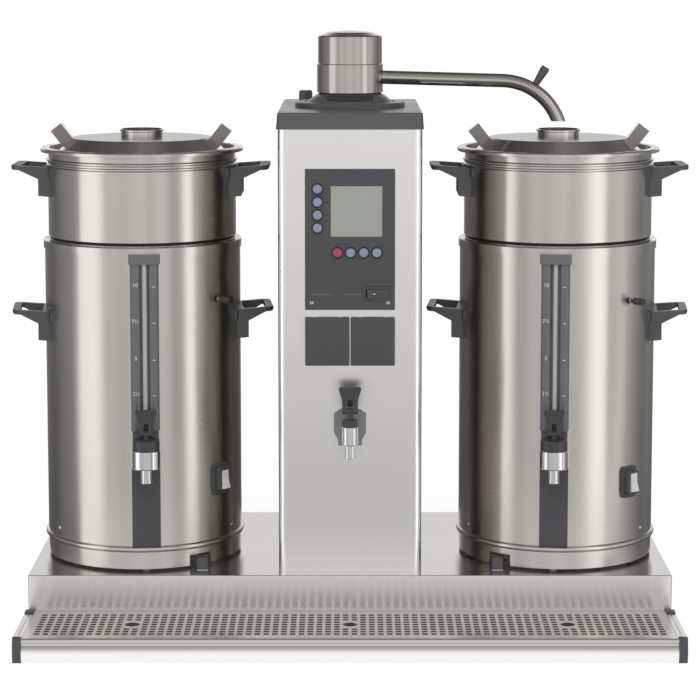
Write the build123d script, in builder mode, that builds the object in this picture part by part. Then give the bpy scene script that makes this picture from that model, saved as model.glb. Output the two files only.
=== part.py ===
"""Twin bulk coffee brewer with two tapped coffee urns.

A stainless platform carries a boiler column in the middle and one insulated container on each
side. Each container holds a filter vessel with a basket and a lid. A swivel arm on top of the
column pours hot water into one lid or the other.

Units are millimetres. +Z is up, the front faces -Y, and z = 0 is the table. The origin is the
middle of the whole footprint.
"""
import os
from math import cos, radians, sin, tan

from build123d import *

# ---------------------------------------------------------------- driving dimensions
sheet = 1.5                    # folded stainless sheet of platform, column and tray
running = 0.08                 # radial clearance of a pin or plunger in its hole
apart = 0.4                    # clearance between pieces of different bodies
seat_gap = 0.05                # between a moulding's curved back and the wall behind it

urn_radius = 140.75            # container's outside wall
urn_lift = 4.5                 # skirt's edge above the platform
urn_height = 456.5             # container's shell, from the skirt's edge to the rim
urn_wall = 1.2
urn_turn = 5.5                 # each container's tap is turned this far towards the middle
urn_beside_column = 12.75      # from the column's side to the container's handle
urn_behind_front = 16.25       # container's wall behind the platform's front
tank_clear_wall = 14.55        # insulation between the shell and the tank
tank_wall = 1.0
bead_rise = 28.5               # rolled bead above the skirt's edge

vessel_step = 5.75             # vessel's wall inside the container's wall
vessel_height = 126.5          # wall from its lower edge to the flange
vessel_ring = 4.0              # height of the base ring that the vessel stands on
vessel_seat = 1.0              # tank flange that the vessel stands on
vessel_wall = 1.0
flange_reach = 10.2            # vessel's flange beyond its wall
basket_depth = 82.0

lid_shoulder = 20.0            # width of the sloping shoulder round the lid's flat disc
lid_height = 19.0              # rise of the shoulder
inlet_radius = 31.5
inlet_rise = 12.0
outlet_above_inlet = 11.0

handle_width = 90.0
handle_height = 44.0
handle_reach_urn = 46.5        # grip beyond the container's wall
handle_reach_vessel = 49.5     # grip beyond the vessel's wall

platform_top = 85.0
platform_beside_urn = 11.75    # platform beyond the container's wall, at each end
platform_behind_column = 38.5
platform_flange = 60.0         # width of the inward flange that the feet are bolted to
foot_height = 14.0
foot_inset = 32.0

tray_depth = 144.0
tray_height = 34.0
tray_side = 12.0               # width of the tray's side rails and corner caps
tray_beside_platform = 3.5

grid_thickness = 1.5
grid_pitch = 12.0
grid_hole = 8.5
grid_rows = 9                  # rows of holes from front to back
finger_hole = 10.0             # radius of the holes that the grid is lifted by

column_width = 200.0
column_depth = 355.0
column_setback = 1.5           # column front behind the platform's front
cap_overhang = 2.0
cap_height = 23.0
turret_height = 21.0           # cap's turret under the swivel head

hub_radius = 47.2              # swivel head
hub_height = 88.0
hub_tube = 21.5                # tube's middle above the turret, where it leaves the head
arm_radius = 9.8               # outside radius of the swivel tube
arm_wall = 1.2
arm_bend = 88.5
tube_drop = 1.6                # degrees that the tube falls towards the outlet
tube_root = 30.0               # where the tube starts, from the head's axis
end_angle = 70.0               # how far the tube has turned down where it is cut off

panel_width = 124.5
panel_height = 196.0
panel_below_top = 54.3         # panel's top under the column's top
panel_proud = 3.0
button_radius = 6.2
button_travel = 1.0

flap_width = 61.2
flap_height = 67.7
flap_below_panel = 10.2
flap_thick = 6.0
flap_gap = 2.0

tap_height = 254.0             # container tap's inlet above the table
hot_tap_height = 290.0         # column tap's inlet above the table

# ---------------------------------------------------------------- places that follow
urn_bottom = platform_top + urn_lift
bead_height = urn_bottom + bead_rise
urn_top = urn_bottom + urn_height
urn_offset = column_width / 2 + urn_beside_column + handle_reach_urn + urn_radius
tank_radius = urn_radius - urn_wall - tank_clear_wall                # inside
vessel_radius = urn_radius - vessel_step
flange_radius = vessel_radius + flange_reach
platform_width = 2 * (urn_offset + urn_radius + platform_beside_urn)
platform_depth = column_setback + column_depth + platform_behind_column
tray_width = platform_width + 2 * tray_beside_platform

front = -(tray_depth + platform_depth) / 2          # tray's front edge
platform_front = front + tray_depth
platform_back = platform_front + platform_depth
platform_mid = (platform_front + platform_back) / 2
column_front = platform_front + column_setback
column_mid = column_front + column_depth / 2
urn_y = platform_front + urn_behind_front + urn_radius

vessel_bottom = urn_top + vessel_seat
vessel_top = vessel_bottom + vessel_ring + vessel_height
ledge_top = vessel_top - 17.5                       # ledge that the basket hangs on
basket_sheet = 1.0
lid_skirt = 11.0
lid_foot = ledge_top + basket_sheet                 # the lid's skirt stands on the basket's rim
lid_edge = lid_foot + lid_skirt
lid_top = lid_edge + lid_height
outlet_height = lid_top + inlet_rise + outlet_above_inlet

bend_x = urn_offset - arm_bend * (sin(radians(end_angle)) - sin(radians(tube_drop)))
bend_z = outlet_height + arm_bend * (cos(radians(tube_drop)) - cos(radians(end_angle)))
root_z = bend_z + (bend_x - tube_root) * tan(radians(tube_drop))
collar_top = root_z - hub_tube
cap_top = collar_top - turret_height
column_top = cap_top - cap_height
panel_bottom = column_top - panel_below_top - panel_height
flap_bottom = panel_bottom - flap_below_panel - flap_height

os.makedirs("parts", exist_ok=True)


def keep(part, name):
    """Write one piece under its own name."""
    part.label = name
    export_step(part, f"parts/{name}.step")


def seat(side):
    """Where the container on a side stands: -1 is the left one, 1 the right one."""
    return Location((side * urn_offset, urn_y, 0), (0, 0, -side * urn_turn))


# ---------------------------------------------------------------- platform and feet
# Locating lugs on the platform: each goes into a notch in a container's skirt.
lug_width = 17.0
lug_length = 36.0
lug_height = 17.0
lug_beside = 91.0              # lug centre from the container axis, towards the column
lug_behind_front = 29.5
notch_height = 20.0
notch_width = lug_width + 11.0
notch_shift = 4.0              # notch centre beside the lug's, away from the column
foot_places = [
    (x * (platform_width / 2 - foot_inset), y)
    for x in (-1, 0, 1)
    for y in (platform_front + foot_inset, platform_back - foot_inset)
]
foot_stem = 5.0
foot_radius = 19.0
foot_hub = 9.0
foot_thread_top = 34.0
nut_radius = 9.5
nut_height = 7.0
services_hole = 30.0           # hole through the platform's top, under the column
services_back = 100.0          # behind the column's middle

with BuildPart() as platform:
    with BuildSketch(Plane.XY.offset(foot_height)):
        with Locations((0, platform_mid)):
            Rectangle(platform_width, platform_depth)
    extrude(amount=platform_top - foot_height)
    fillet(platform.edges().filter_by(Axis.Z), radius=3)
    fillet(platform.edges().group_by(Axis.Z)[-1], radius=sheet)
    with BuildSketch(Plane.XY.offset(foot_height + sheet)):
        with Locations((0, platform_mid)):
            Rectangle(platform_width - 2 * sheet, platform_depth - 2 * sheet)
    extrude(amount=platform_top - foot_height - 2 * sheet, mode=Mode.SUBTRACT)
    with BuildSketch(Plane.XY.offset(foot_height)):
        with Locations((0, platform_mid)):
            RectangleRounded(
                platform_width - 2 * platform_flange, platform_depth - 2 * platform_flange, 15
            )
    extrude(amount=sheet, mode=Mode.SUBTRACT)
    with BuildSketch(Plane.XY.offset(foot_height)):
        with Locations(*foot_places):
            Circle(foot_stem + running)
    extrude(amount=sheet, mode=Mode.SUBTRACT)
    with BuildSketch(Plane.XY.offset(platform_top - sheet)):
        with Locations((0, column_mid + services_back)):
            Circle(services_hole)
    extrude(amount=sheet, mode=Mode.SUBTRACT)
    lug_y = platform_front + lug_behind_front + lug_length / 2
    with BuildSketch(Plane.XY.offset(platform_top)):
        for side in (-1, 1):
            with Locations((side * (urn_offset - lug_beside), lug_y)):
                RectangleRounded(lug_width, lug_length, 2)
    extrude(amount=lug_height, taper=3)
keep(platform.part, "base_platform")

with BuildPart() as feet:
    with BuildSketch(Plane.XZ):
        with BuildLine():
            Polyline(
                (0, 0), (foot_radius - 1, 0), (foot_radius, 2), (foot_radius, 6), (foot_hub, 9),
                (foot_hub, foot_height), (foot_stem, foot_height), (foot_stem, foot_thread_top),
                (0, foot_thread_top), (0, 0),
            )
        make_face()
    revolve(axis=Axis.Z)
    with BuildSketch(Plane.XY.offset(foot_height + sheet)):
        RegularPolygon(nut_radius, 6)
        Circle(foot_stem, mode=Mode.SUBTRACT)
    extrude(amount=nut_height)
one_foot = feet.part
with BuildPart() as levelling_feet:
    for place in foot_places:
        add(Pos(*place, 0) * one_foot)
keep(levelling_feet.part, "levelling_feet")

# ---------------------------------------------------------------- drip tray and grid
tray_back = platform_front - 0.5
tray_rim = 10.0
tray_floor = 2.0
tray_step = 1.5                # depth of the groove under the front's top edge
groove_low, groove_high = 24.0, 27.0
corner_length = 14.0           # rear corner caps, along the side rails
corner_top = 41.0
grid_margin = 12.0             # plain border at each end of the grid
finger_land = 4.0              # plain ring round each finger hole
pan_front = front + tray_rim
pan_back = tray_back - 6.0
rail_end = tray_back - corner_length
grid_front = pan_front - 3.0
grid_back = pan_back + 3.0
between_caps = tray_width - 2 * tray_side
pan_width = between_caps - 2 * 4.0
grid_width = between_caps - 2 * 1.0
grid_columns = int((grid_width - 2 * grid_margin) / grid_pitch)

with BuildPart() as drip_tray:
    with BuildSketch(Plane.YZ.offset(-between_caps / 2)):
        with BuildLine():
            nose = front + 2.0
            Polyline(
                (nose + tray_step, groove_low), (nose + tray_step, groove_high),
                (nose, groove_high + 1), (nose, tray_height - tray_step),
                (nose + tray_step, tray_height), (tray_back, tray_height), (tray_back, 0), (nose + 2, 0),
            )
            ThreePointArc((nose + 2, 0), (front, groove_low / 2), (nose + tray_step, groove_low))
        make_face()
    extrude(amount=between_caps)
    with BuildSketch(Plane.XY):
        for side in (-1, 1):
            with Locations((side * (between_caps + tray_side) / 2, (pan_front + rail_end) / 2)):
                Rectangle(tray_side, rail_end - pan_front)
    extrude(amount=tray_height)
    with BuildSketch(Plane.XY.offset(tray_height - 1)):
        for side in (-1, 1):
            with Locations((side * (between_caps / 2 + 5), (pan_front + rail_end) / 2)):
                Rectangle(tray_step, rail_end - pan_front)
    extrude(amount=1, mode=Mode.SUBTRACT)
    with BuildSketch(Plane.XY.offset(tray_floor)):
        with Locations((0, (pan_front + pan_back) / 2)):
            RectangleRounded(pan_width, pan_back - pan_front, 8)
    extrude(amount=tray_height, mode=Mode.SUBTRACT)
    with BuildSketch(Plane.XY.offset(tray_height - grid_thickness)):
        with Locations((0, (grid_front + grid_back) / 2)):
            Rectangle(grid_width, grid_back - grid_front)
    extrude(amount=grid_thickness, mode=Mode.SUBTRACT)
keep(drip_tray.part, "drip_tray")

with BuildPart() as corner_caps:
    with BuildSketch(Plane.YZ):
        with BuildLine():
            Polyline(
                (front + 4, tray_height + 1), (pan_front, tray_height + 1), (pan_front, 0), (front + 3, 0),
            )
            ThreePointArc((front + 3, 0), (front, 14), (front + 4, tray_height + 1))
        make_face()
        with BuildLine():
            Polyline(
                (rail_end, 8), (rail_end, corner_top - 3), (rail_end + 4, corner_top),
                (tray_back, corner_top), (tray_back, 8), (rail_end, 8),
            )
        make_face()
    extrude(amount=tray_side)
one_side = corner_caps.part
with BuildPart() as tray_caps:
    add(Pos(between_caps / 2, 0, 0) * one_side)
    add(Pos(-between_caps / 2 - tray_side, 0, 0) * one_side)
keep(tray_caps.part, "tray_corner_caps")

grid_y = (grid_front + grid_back) / 2
slot_rows = 3
rows_per_slot = grid_rows // slot_rows
with BuildPart() as drip_grid:
    with BuildSketch(Plane.XY.offset(tray_height - grid_thickness)):
        with Locations((0, grid_y)):
            Rectangle(grid_width - 2 * apart, grid_back - grid_front - 2 * apart)
            with GridLocations(grid_pitch, rows_per_slot * grid_pitch, grid_columns, slot_rows):
                Rectangle(
                    grid_hole, (rows_per_slot - 1) * grid_pitch + grid_hole, mode=Mode.SUBTRACT
                )
            with Locations((-urn_offset, 0), (0, 0), (urn_offset, 0)):
                Circle(finger_hole + finger_land)
                Circle(finger_hole, mode=Mode.SUBTRACT)
    extrude(amount=grid_thickness)
keep(drip_grid.part, "drip_grid")

# ---------------------------------------------------------------- column housing
panel_mid = panel_bottom + panel_height / 2
panel_lip = 4.0                # panel plate beyond its opening
flap_x = (flap_width + flap_gap) / 2
socket_width = flap_width - 4.0                     # each flap covers an opening of its own
socket_bottom = flap_bottom + 3.0
socket_top = flap_bottom + flap_height - 0.7
socket_mid = (socket_bottom + socket_top) / 2
tap_stub = 9.0
inlet_stub = 13.2              # outside radius of the three-quarter inch water union
inlet_x = 45.0
services_z = platform_top + 50.0
gland_thread = 8.0
column_corner = 12.0           # bend radius of the front corners
column_back_corner = 6.0
louvre_length, louvre_width, louvre_pitch, louvres = 110.0, 5.0, 12.0, 6
louvre_heights = (230.0, column_top - 112.0)

with BuildPart() as column:
    with BuildSketch(Plane.XY.offset(platform_top)) as column_plan:
        with Locations((0, column_mid)):
            Rectangle(column_width, column_depth)
        fillet(column_plan.vertices().group_by(Axis.Y)[0], radius=column_corner)
        fillet(column_plan.vertices().group_by(Axis.Y)[-1], radius=column_back_corner)
        offset(amount=-sheet, mode=Mode.SUBTRACT)
    extrude(amount=column_top - platform_top)
    with BuildSketch(Plane.XZ.offset(-column_front - 20)):
        with Locations((0, panel_mid)):
            Rectangle(panel_width - 2 * panel_lip, panel_height - 2 * panel_lip)
        with Locations((-flap_x, socket_mid), (flap_x, socket_mid)):
            Rectangle(socket_width, socket_top - socket_bottom)
        with Locations((0, hot_tap_height)):
            Circle(tap_stub + running)
    extrude(amount=40, mode=Mode.SUBTRACT)
    with BuildSketch(Plane.XZ.offset(-column_front - column_depth - 10)):
        with Locations((inlet_x, services_z)):
            Circle(inlet_stub - 2)
        with Locations((-inlet_x, services_z)):
            Circle(gland_thread)
        for height in louvre_heights:
            with Locations((0, height)):
                with GridLocations(0, louvre_pitch, 1, louvres):
                    SlotOverall(louvre_length, louvre_width)
    extrude(amount=20, mode=Mode.SUBTRACT)
keep(column.part, "column_housing")

# ---------------------------------------------------------------- column cap and collar
riser_radius = 8.0
collar_bore = riser_radius + 3.0
spigot_radius = 20.0
cap_wall = 5.0
cap_spigot = 12.0              # how far the cap reaches down into the housing
ring_radius = 79.0             # raised ring round the turret, open at the front
ring_inside = 65.0
ring_opening = 92.0
ring_floor = 1.5
plug_place = (-66, urn_y + 128)
plug_radius = 6.0
with BuildPart() as cap:
    with BuildSketch(Plane.XY.offset(column_top)) as cap_plan:
        with Locations((0, column_mid)):
            Rectangle(column_width + 2 * cap_overhang, column_depth + 2 * cap_overhang)
        fillet(cap_plan.vertices(), radius=10)
    extrude(amount=cap_height, taper=4)
    fillet(cap.faces().sort_by(Axis.Z)[-1].edges(), radius=3)
    with BuildSketch(Plane.XY.offset(column_top)):
        with Locations((0, column_mid)):
            RectangleRounded(column_width - 2 * cap_wall, column_depth - 2 * cap_wall, 8)
    extrude(amount=cap_height - 4, mode=Mode.SUBTRACT)
    with BuildSketch(Plane.XY.offset(column_top - cap_spigot)):
        with Locations((0, column_mid)):
            RectangleRounded(
                column_width - 2 * sheet - 2 * apart, column_depth - 2 * sheet - 2 * apart,
                column_corner - 1,
            )
            RectangleRounded(
                column_width - 2 * cap_wall, column_depth - 2 * cap_wall, 8, mode=Mode.SUBTRACT
            )
    extrude(amount=cap_spigot + 1)
    with BuildSketch(Plane.XZ):
        with BuildLine():
            Polyline(
                (0, cap_top - 4), (ring_radius, cap_top - 4), (ring_radius, cap_top + 6),
                (ring_radius - 2, cap_top + 7.5), (ring_inside, cap_top + 7.5),
                (ring_inside, cap_top + 4.5), (52, collar_top - 6), (44, collar_top - 1),
                (41, collar_top), (spigot_radius, collar_top), (spigot_radius, collar_top + 12),
                (0, collar_top + 12), (0, cap_top - 4),
            )
        make_face()
    cap_turret = revolve(axis=Axis((0, 0, 0), (0, 0, 1)), mode=Mode.PRIVATE)
    add(Pos(0, urn_y, 0) * cap_turret)
    with BuildSketch(Plane.XY.offset(cap_top + ring_floor)):
        with Locations((0, urn_y - ring_radius)):
            Rectangle(ring_opening, 2 * (ring_radius - ring_inside))
    extrude(amount=turret_height, mode=Mode.SUBTRACT)
    with BuildSketch(Plane.XY.offset(cap_top - 6)):
        with Locations((0, urn_y)):
            Circle(collar_bore)
    extrude(amount=60, mode=Mode.SUBTRACT)
    with BuildSketch(Plane.XZ.offset(-urn_y + 30)):
        with Locations((0, collar_top - 7.5)):
            SlotOverall(66, 8)
    extrude(amount=40, mode=Mode.SUBTRACT)
    with BuildSketch(Plane.XY.offset(cap_top - 6)):
        with Locations(plug_place):
            Circle(plug_radius)
    extrude(amount=20, mode=Mode.SUBTRACT)
keep(cap.part, "column_cap")

with BuildPart() as plug:
    with BuildSketch(Plane.XZ):
        with BuildLine():
            Polyline(
                (0, cap_top - 12), (plug_radius - running, cap_top - 12),
                (plug_radius - running, cap_top),
                (10, cap_top), (10, cap_top + 14), (8.5, cap_top + 17), (0, cap_top + 17),
                (0, cap_top - 12),
            )
        make_face()
    revolve(axis=Axis.Z)
keep(Pos(*plug_place, 0) * plug.part, "descaling_plug")

# ---------------------------------------------------------------- swivel head, arm and knob
drum_step = 40.0               # height of the wider lower drum
drum_radius = hub_radius - 1.4
head_wall = 2.5
head_floor = 13.0
head_top = collar_top + hub_height
dome_rise = 7.5                # the head's top: a sloping shoulder and a shallow dome
shoulder_rise = 5.0
dome_radius = drum_radius - 13.0
wall_top = head_top - dome_rise
ceiling = wall_top + shoulder_rise - head_wall
slope = (cos(radians(tube_drop)), -sin(radians(tube_drop)))
centre_x = bend_x - arm_bend * sin(radians(tube_drop))
centre_z = bend_z - arm_bend * cos(radians(tube_drop))


def on_bend(angle, radius=arm_bend):
    """A point of the arm's bend, at an angle from straight up."""
    return (centre_x + radius * sin(radians(angle)), centre_z + radius * cos(radians(angle)))


with BuildPart() as tube:
    with BuildLine(Plane.XZ) as tube_path:
        Line((tube_root, root_z), (bend_x, bend_z))
        ThreePointArc(on_bend(tube_drop), on_bend(38), on_bend(end_angle + 7))
    with BuildSketch(Plane((tube_root, 0, root_z), x_dir=(0, 1, 0), z_dir=(slope[0], 0, slope[1]))):
        Circle(arm_radius)
        Circle(arm_radius - arm_wall, mode=Mode.SUBTRACT)
    sweep(path=tube_path.line)
    split(bisect_by=Plane.XY.offset(outlet_height), keep=Keep.TOP)
swivel_tube = Pos(0, urn_y, 0) * tube.part

with BuildPart() as head:
    with BuildSketch(Plane.XZ):
        with BuildLine():
            Polyline(
                (spigot_radius + running, collar_top), (hub_radius, collar_top),
                (hub_radius, collar_top + drum_step), (drum_radius, collar_top + drum_step + 1),
                (drum_radius, wall_top - 1), (drum_radius - 1.5, wall_top + 0.5),
                (dome_radius, wall_top + shoulder_rise),
            )
            TangentArc((0, head_top), (dome_radius, wall_top + shoulder_rise), tangent=(1, 0))
            Polyline(
                (0, head_top), (0, ceiling), (dome_radius, ceiling),
                (drum_radius - head_wall, wall_top - head_wall),
                (drum_radius - head_wall, collar_top + head_floor),
                (spigot_radius + running, collar_top + head_floor), (spigot_radius + running, collar_top),
            )
        make_face()
    revolve(axis=Axis.Z)
with BuildPart() as swivel_arm:
    add(Pos(0, urn_y, 0) * head.part)
    with BuildSketch(
        Plane((tube_root, urn_y, root_z), x_dir=(0, 1, 0), z_dir=(slope[0], 0, slope[1]))
    ):
        Circle(arm_radius - arm_wall)
    extrude(amount=hub_radius, mode=Mode.SUBTRACT)
    add(swivel_tube)
keep(swivel_arm.part, "swivel_arm")

knob_angle = 31.0
knob_length = 25.0
knob_low, knob_high = 4.6, 6.6                      # radius at the tube and at the top
knob_x, knob_z = on_bend(knob_angle, arm_bend + arm_radius - 0.6)
with BuildPart() as knob:
    knob_plane = Plane(
        (knob_x, urn_y, knob_z), x_dir=(0, 1, 0),
        z_dir=(sin(radians(knob_angle)), 0, cos(radians(knob_angle))),
    )
    with BuildSketch(knob_plane):
        Circle(knob_low)
    with BuildSketch(knob_plane.offset(knob_length)):
        Circle(knob_high)
    loft()
    with BuildSketch(knob_plane.offset(knob_length)):
        Circle(knob_high)
    extrude(amount=3, taper=25)
    add(swivel_tube, mode=Mode.SUBTRACT)
keep(knob.part, "arm_knob")

# ---------------------------------------------------------------- boiler and its element
boiler_radius = 80.0
boiler_y = column_mid + 40.0
boiler_bottom = platform_top + 45.0
boiler_headroom = 152.0        # boiler's top under the column's top
boiler_wall = 1.5
boiler_corner = 10.0
riser_wall = 1.5
element_y = boiler_y + 30.0
element_hole = 26.0
boiler_top = column_top - boiler_headroom
boiler_height = boiler_top - boiler_bottom

with BuildPart() as boiler:
    with BuildSketch(Plane.XZ):
        with BuildLine():
            Line((0, 0), (boiler_radius - boiler_corner, 0))
            RadiusArc((boiler_radius - boiler_corner, 0), (boiler_radius, boiler_corner), -boiler_corner)
            Polyline(
                (boiler_radius, boiler_corner), (boiler_radius, boiler_height), (0, boiler_height),
                (0, boiler_height - boiler_wall),
                (boiler_radius - boiler_wall, boiler_height - boiler_wall),
                (boiler_radius - boiler_wall, boiler_corner),
            )
            RadiusArc(
                (boiler_radius - boiler_wall, boiler_corner), (boiler_radius - boiler_corner, boiler_wall),
                boiler_corner - boiler_wall,
            )
            Polyline((boiler_radius - boiler_corner, boiler_wall), (0, boiler_wall), (0, 0))
        make_face()
    revolve(axis=Axis.Z)
    with BuildSketch(Plane.XY.offset(boiler_height - 5)):
        with Locations((0, element_y - boiler_y)):
            Circle(element_hole)
    extrude(amount=10, mode=Mode.SUBTRACT)
    with BuildSketch(Plane.XY.offset(platform_top - boiler_bottom)):
        with PolarLocations(boiler_radius - 14, 3, start_angle=-90):
            Rectangle(4, 24)
    extrude(amount=boiler_bottom - platform_top + 0.5)
with BuildPart() as boiler_tank:
    add(Pos(0, boiler_y, boiler_bottom) * boiler.part)
    with BuildSketch(Plane.XY.offset(boiler_top - 5)):
        with Locations((0, urn_y)):
            Circle(riser_radius - riser_wall)
    extrude(amount=10, mode=Mode.SUBTRACT)
    with BuildSketch(Plane.XY.offset(boiler_top)):
        with Locations((0, urn_y)):
            Circle(riser_radius)
            Circle(riser_radius - riser_wall, mode=Mode.SUBTRACT)
    extrude(amount=collar_top + 8 - boiler_top)
keep(boiler_tank.part, "boiler")

hairpin_radius = 4.0
hairpin_half_gap = 10.0
hairpin_depth = boiler_height - 100.0
with BuildPart() as element:
    with BuildSketch(Plane.XY.offset(boiler_top)):
        with Locations((0, element_y)):
            Circle(element_hole + 9)
    extrude(amount=5)
    near = element_y - hairpin_half_gap
    far = element_y + hairpin_half_gap
    hairpin_low = boiler_top - hairpin_depth
    for x in (-13, 0, 13):
        with BuildLine(Plane.YZ.offset(x)) as hairpin:
            Line((near, boiler_top), (near, hairpin_low))
            ThreePointArc(
                (near, hairpin_low), (element_y, hairpin_low - hairpin_half_gap), (far, hairpin_low)
            )
            Line((far, hairpin_low), (far, boiler_top))
        with BuildSketch(Plane((x, near, boiler_top), z_dir=(0, 0, -1))):
            Circle(hairpin_radius)
        sweep(path=hairpin.line)
keep(element.part, "heating_element")

# ---------------------------------------------------------------- services on the back
column_back = column_front + column_depth
union_reach = 22.0
union_tail = 14.0              # length of the union inside the housing
union_bore = 8.0
union_hex = 19.0
gland_bore = 5.0
gland_tail = 12.0
gland_hex = 12.5
with BuildPart() as union:
    with BuildSketch(Plane.XZ.offset(-column_back - union_reach)):
        with Locations((inlet_x, services_z)):
            Circle(inlet_stub)
    extrude(amount=union_reach)
    with BuildSketch(Plane.XZ.offset(-column_back - 6)):
        with Locations((inlet_x, services_z)):
            RegularPolygon(union_hex, 6)
    extrude(amount=6)
    with BuildSketch(Plane.XZ.offset(-column_back)):
        with Locations((inlet_x, services_z)):
            Circle(inlet_stub - 2 - running)
    extrude(amount=union_tail)
    with BuildSketch(Plane.XZ.offset(-column_back - union_reach)):
        with Locations((inlet_x, services_z)):
            Circle(union_bore)
    extrude(amount=union_reach + union_tail, mode=Mode.SUBTRACT)
keep(union.part, "water_inlet")

gland_reach = 20.0
with BuildPart() as gland:
    with BuildSketch(Plane.XZ.offset(-column_back - gland_reach)):
        with Locations((-inlet_x, services_z)):
            Circle(8)
    extrude(amount=gland_reach)
    fillet(gland.faces().sort_by(Axis.Y)[-1].edges(), radius=2.5)
    with BuildSketch(Plane.XZ.offset(-column_back - 12)):
        with Locations((-inlet_x, services_z)):
            RegularPolygon(gland_hex, 6)
    extrude(amount=12)
    with BuildSketch(Plane.XZ.offset(-column_back)):
        with Locations((-inlet_x, services_z)):
            Circle(gland_thread - running)
    extrude(amount=gland_tail)
    with BuildSketch(Plane.XZ.offset(-column_back - gland_reach)):
        with Locations((-inlet_x, services_z)):
            Circle(gland_bore)
    extrude(amount=gland_reach + gland_tail, mode=Mode.SUBTRACT)
keep(gland.part, "cable_gland")

# ---------------------------------------------------------------- control panel
rim_depth = 12.0
rim_width = panel_width - 2 * panel_lip - 0.2
rim_height = panel_height - 2 * panel_lip - 0.2
bezel = 1.0                    # rings and frame raised on the panel
bezel_ring = 2.0
display_x, display_z = 9.0, column_top - 113.0
display_width, display_height = 71.0, 70.0
display_thick = 2.2
switch_x, switch_z = 38.2, panel_bottom + 22.9
switch_width, switch_height = 38.5, 19.6
rocker_length = 30.0
rocker_width = 12.2
rocker_pin = 1.5
rocker_tilt = 8.0
rocker_play = 0.9              # room for the rocker's corners as it swings
menu_x, menu_top, menu_pitch = -45.0, column_top - 82.0, 18.0
brew_x, brew_z, brew_pitch = -17.4, panel_bottom + 80.0, 18.2
button_places = {f"menu_button_{n + 1}": (menu_x, menu_top - n * menu_pitch) for n in range(4)}
button_places["stop_button"] = (brew_x, brew_z)
for n in range(1, 4):
    button_places[f"brew_button_{n}"] = (brew_x + n * brew_pitch, brew_z)
panel_face = -column_front + panel_proud            # as an offset of Plane.XZ
rocker_pivot_y = column_front - 1.8

with BuildPart() as panel:
    with BuildSketch(Plane.XZ.offset(-column_front)):
        with Locations((0, panel_mid)):
            RectangleRounded(panel_width, panel_height, 1.2)
    extrude(amount=panel_proud)
    fillet(panel.faces().sort_by(Axis.Y)[0].edges(), radius=1)
    with BuildSketch(Plane.XZ.offset(-column_front - rim_depth)):
        with Locations((0, panel_mid)):
            Rectangle(rim_width, rim_height)
            Rectangle(rim_width - 4, rim_height - 4, mode=Mode.SUBTRACT)
    extrude(amount=rim_depth)
    with BuildSketch(Plane.XZ.offset(panel_face)):
        with Locations(*button_places.values()):
            Circle(button_radius + bezel_ring)
        with Locations((switch_x, switch_z)):
            RectangleRounded(switch_width, switch_height, 1.5)
    extrude(amount=bezel)
    with BuildSketch(Plane.XZ.offset(panel_face + bezel)):
        with Locations(*button_places.values()):
            Circle(button_radius + running)
        with Locations((switch_x, switch_z)):
            Rectangle(rocker_length + 2 * rocker_play, rocker_width + 0.8)
        with Locations((display_x, display_z)):
            Rectangle(display_width - 6, display_height - 6)
    extrude(amount=-panel_proud - bezel, mode=Mode.SUBTRACT)
    with BuildSketch(Plane.XZ.offset(panel_face)):
        with Locations((display_x, display_z)):
            Rectangle(display_width + 0.2, display_height + 0.2)
    extrude(amount=-display_thick, mode=Mode.SUBTRACT)
    with BuildSketch(Plane.XY.offset(switch_z - rocker_width / 2 - 2)):
        with Locations((switch_x, rocker_pivot_y)):
            Circle(rocker_pin + running)
    extrude(amount=rocker_width + 4, mode=Mode.SUBTRACT)
keep(panel.part, "control_panel")

with BuildPart() as window:
    with BuildSketch(Plane.XZ.offset(panel_face - display_thick)):
        with Locations((display_x, display_z)):
            Rectangle(display_width, display_height)
    extrude(amount=display_thick - 0.3)
keep(window.part, "display_window")

with BuildPart() as button:
    with BuildSketch(Plane.XZ):
        Circle(button_radius)
    extrude(amount=panel_proud + bezel + button_travel + 0.3)
    fillet(button.faces().sort_by(Axis.Y)[0].edges(), radius=1)
    with BuildSketch(Plane.XZ.offset(-1.5)):
        Circle(button_radius + 1.6)
    extrude(amount=1.5)
for name, (x, z) in button_places.items():
    keep(Pos(x, column_front, z) * button.part, name)


def rocker(length, width, pin_length):
    """A rocker on its pivot, which lies along Z at the origin. Its front faces -Y."""
    with BuildPart() as made:
        with BuildSketch(Plane.XY.offset(-width / 2)):
            with BuildLine():
                Polyline(
                    (-length / 2, -0.6), (-length / 2, -4.8), (0, -3.2), (length / 2, -4.8),
                    (length / 2, -0.6), (4, 2.4), (-4, 2.4), (-length / 2, -0.6),
                )
            make_face()
        extrude(amount=width)
        with BuildSketch(Plane.XY.offset(-pin_length / 2)):
            Circle(rocker_pin)
        extrude(amount=pin_length)
    return made.part


mains_rocker = rocker(rocker_length, rocker_width, rocker_width + 3.4)
keep(Pos(switch_x, rocker_pivot_y, switch_z) * Rot(0, 0, rocker_tilt) * mains_rocker, "mains_rocker")

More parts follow.
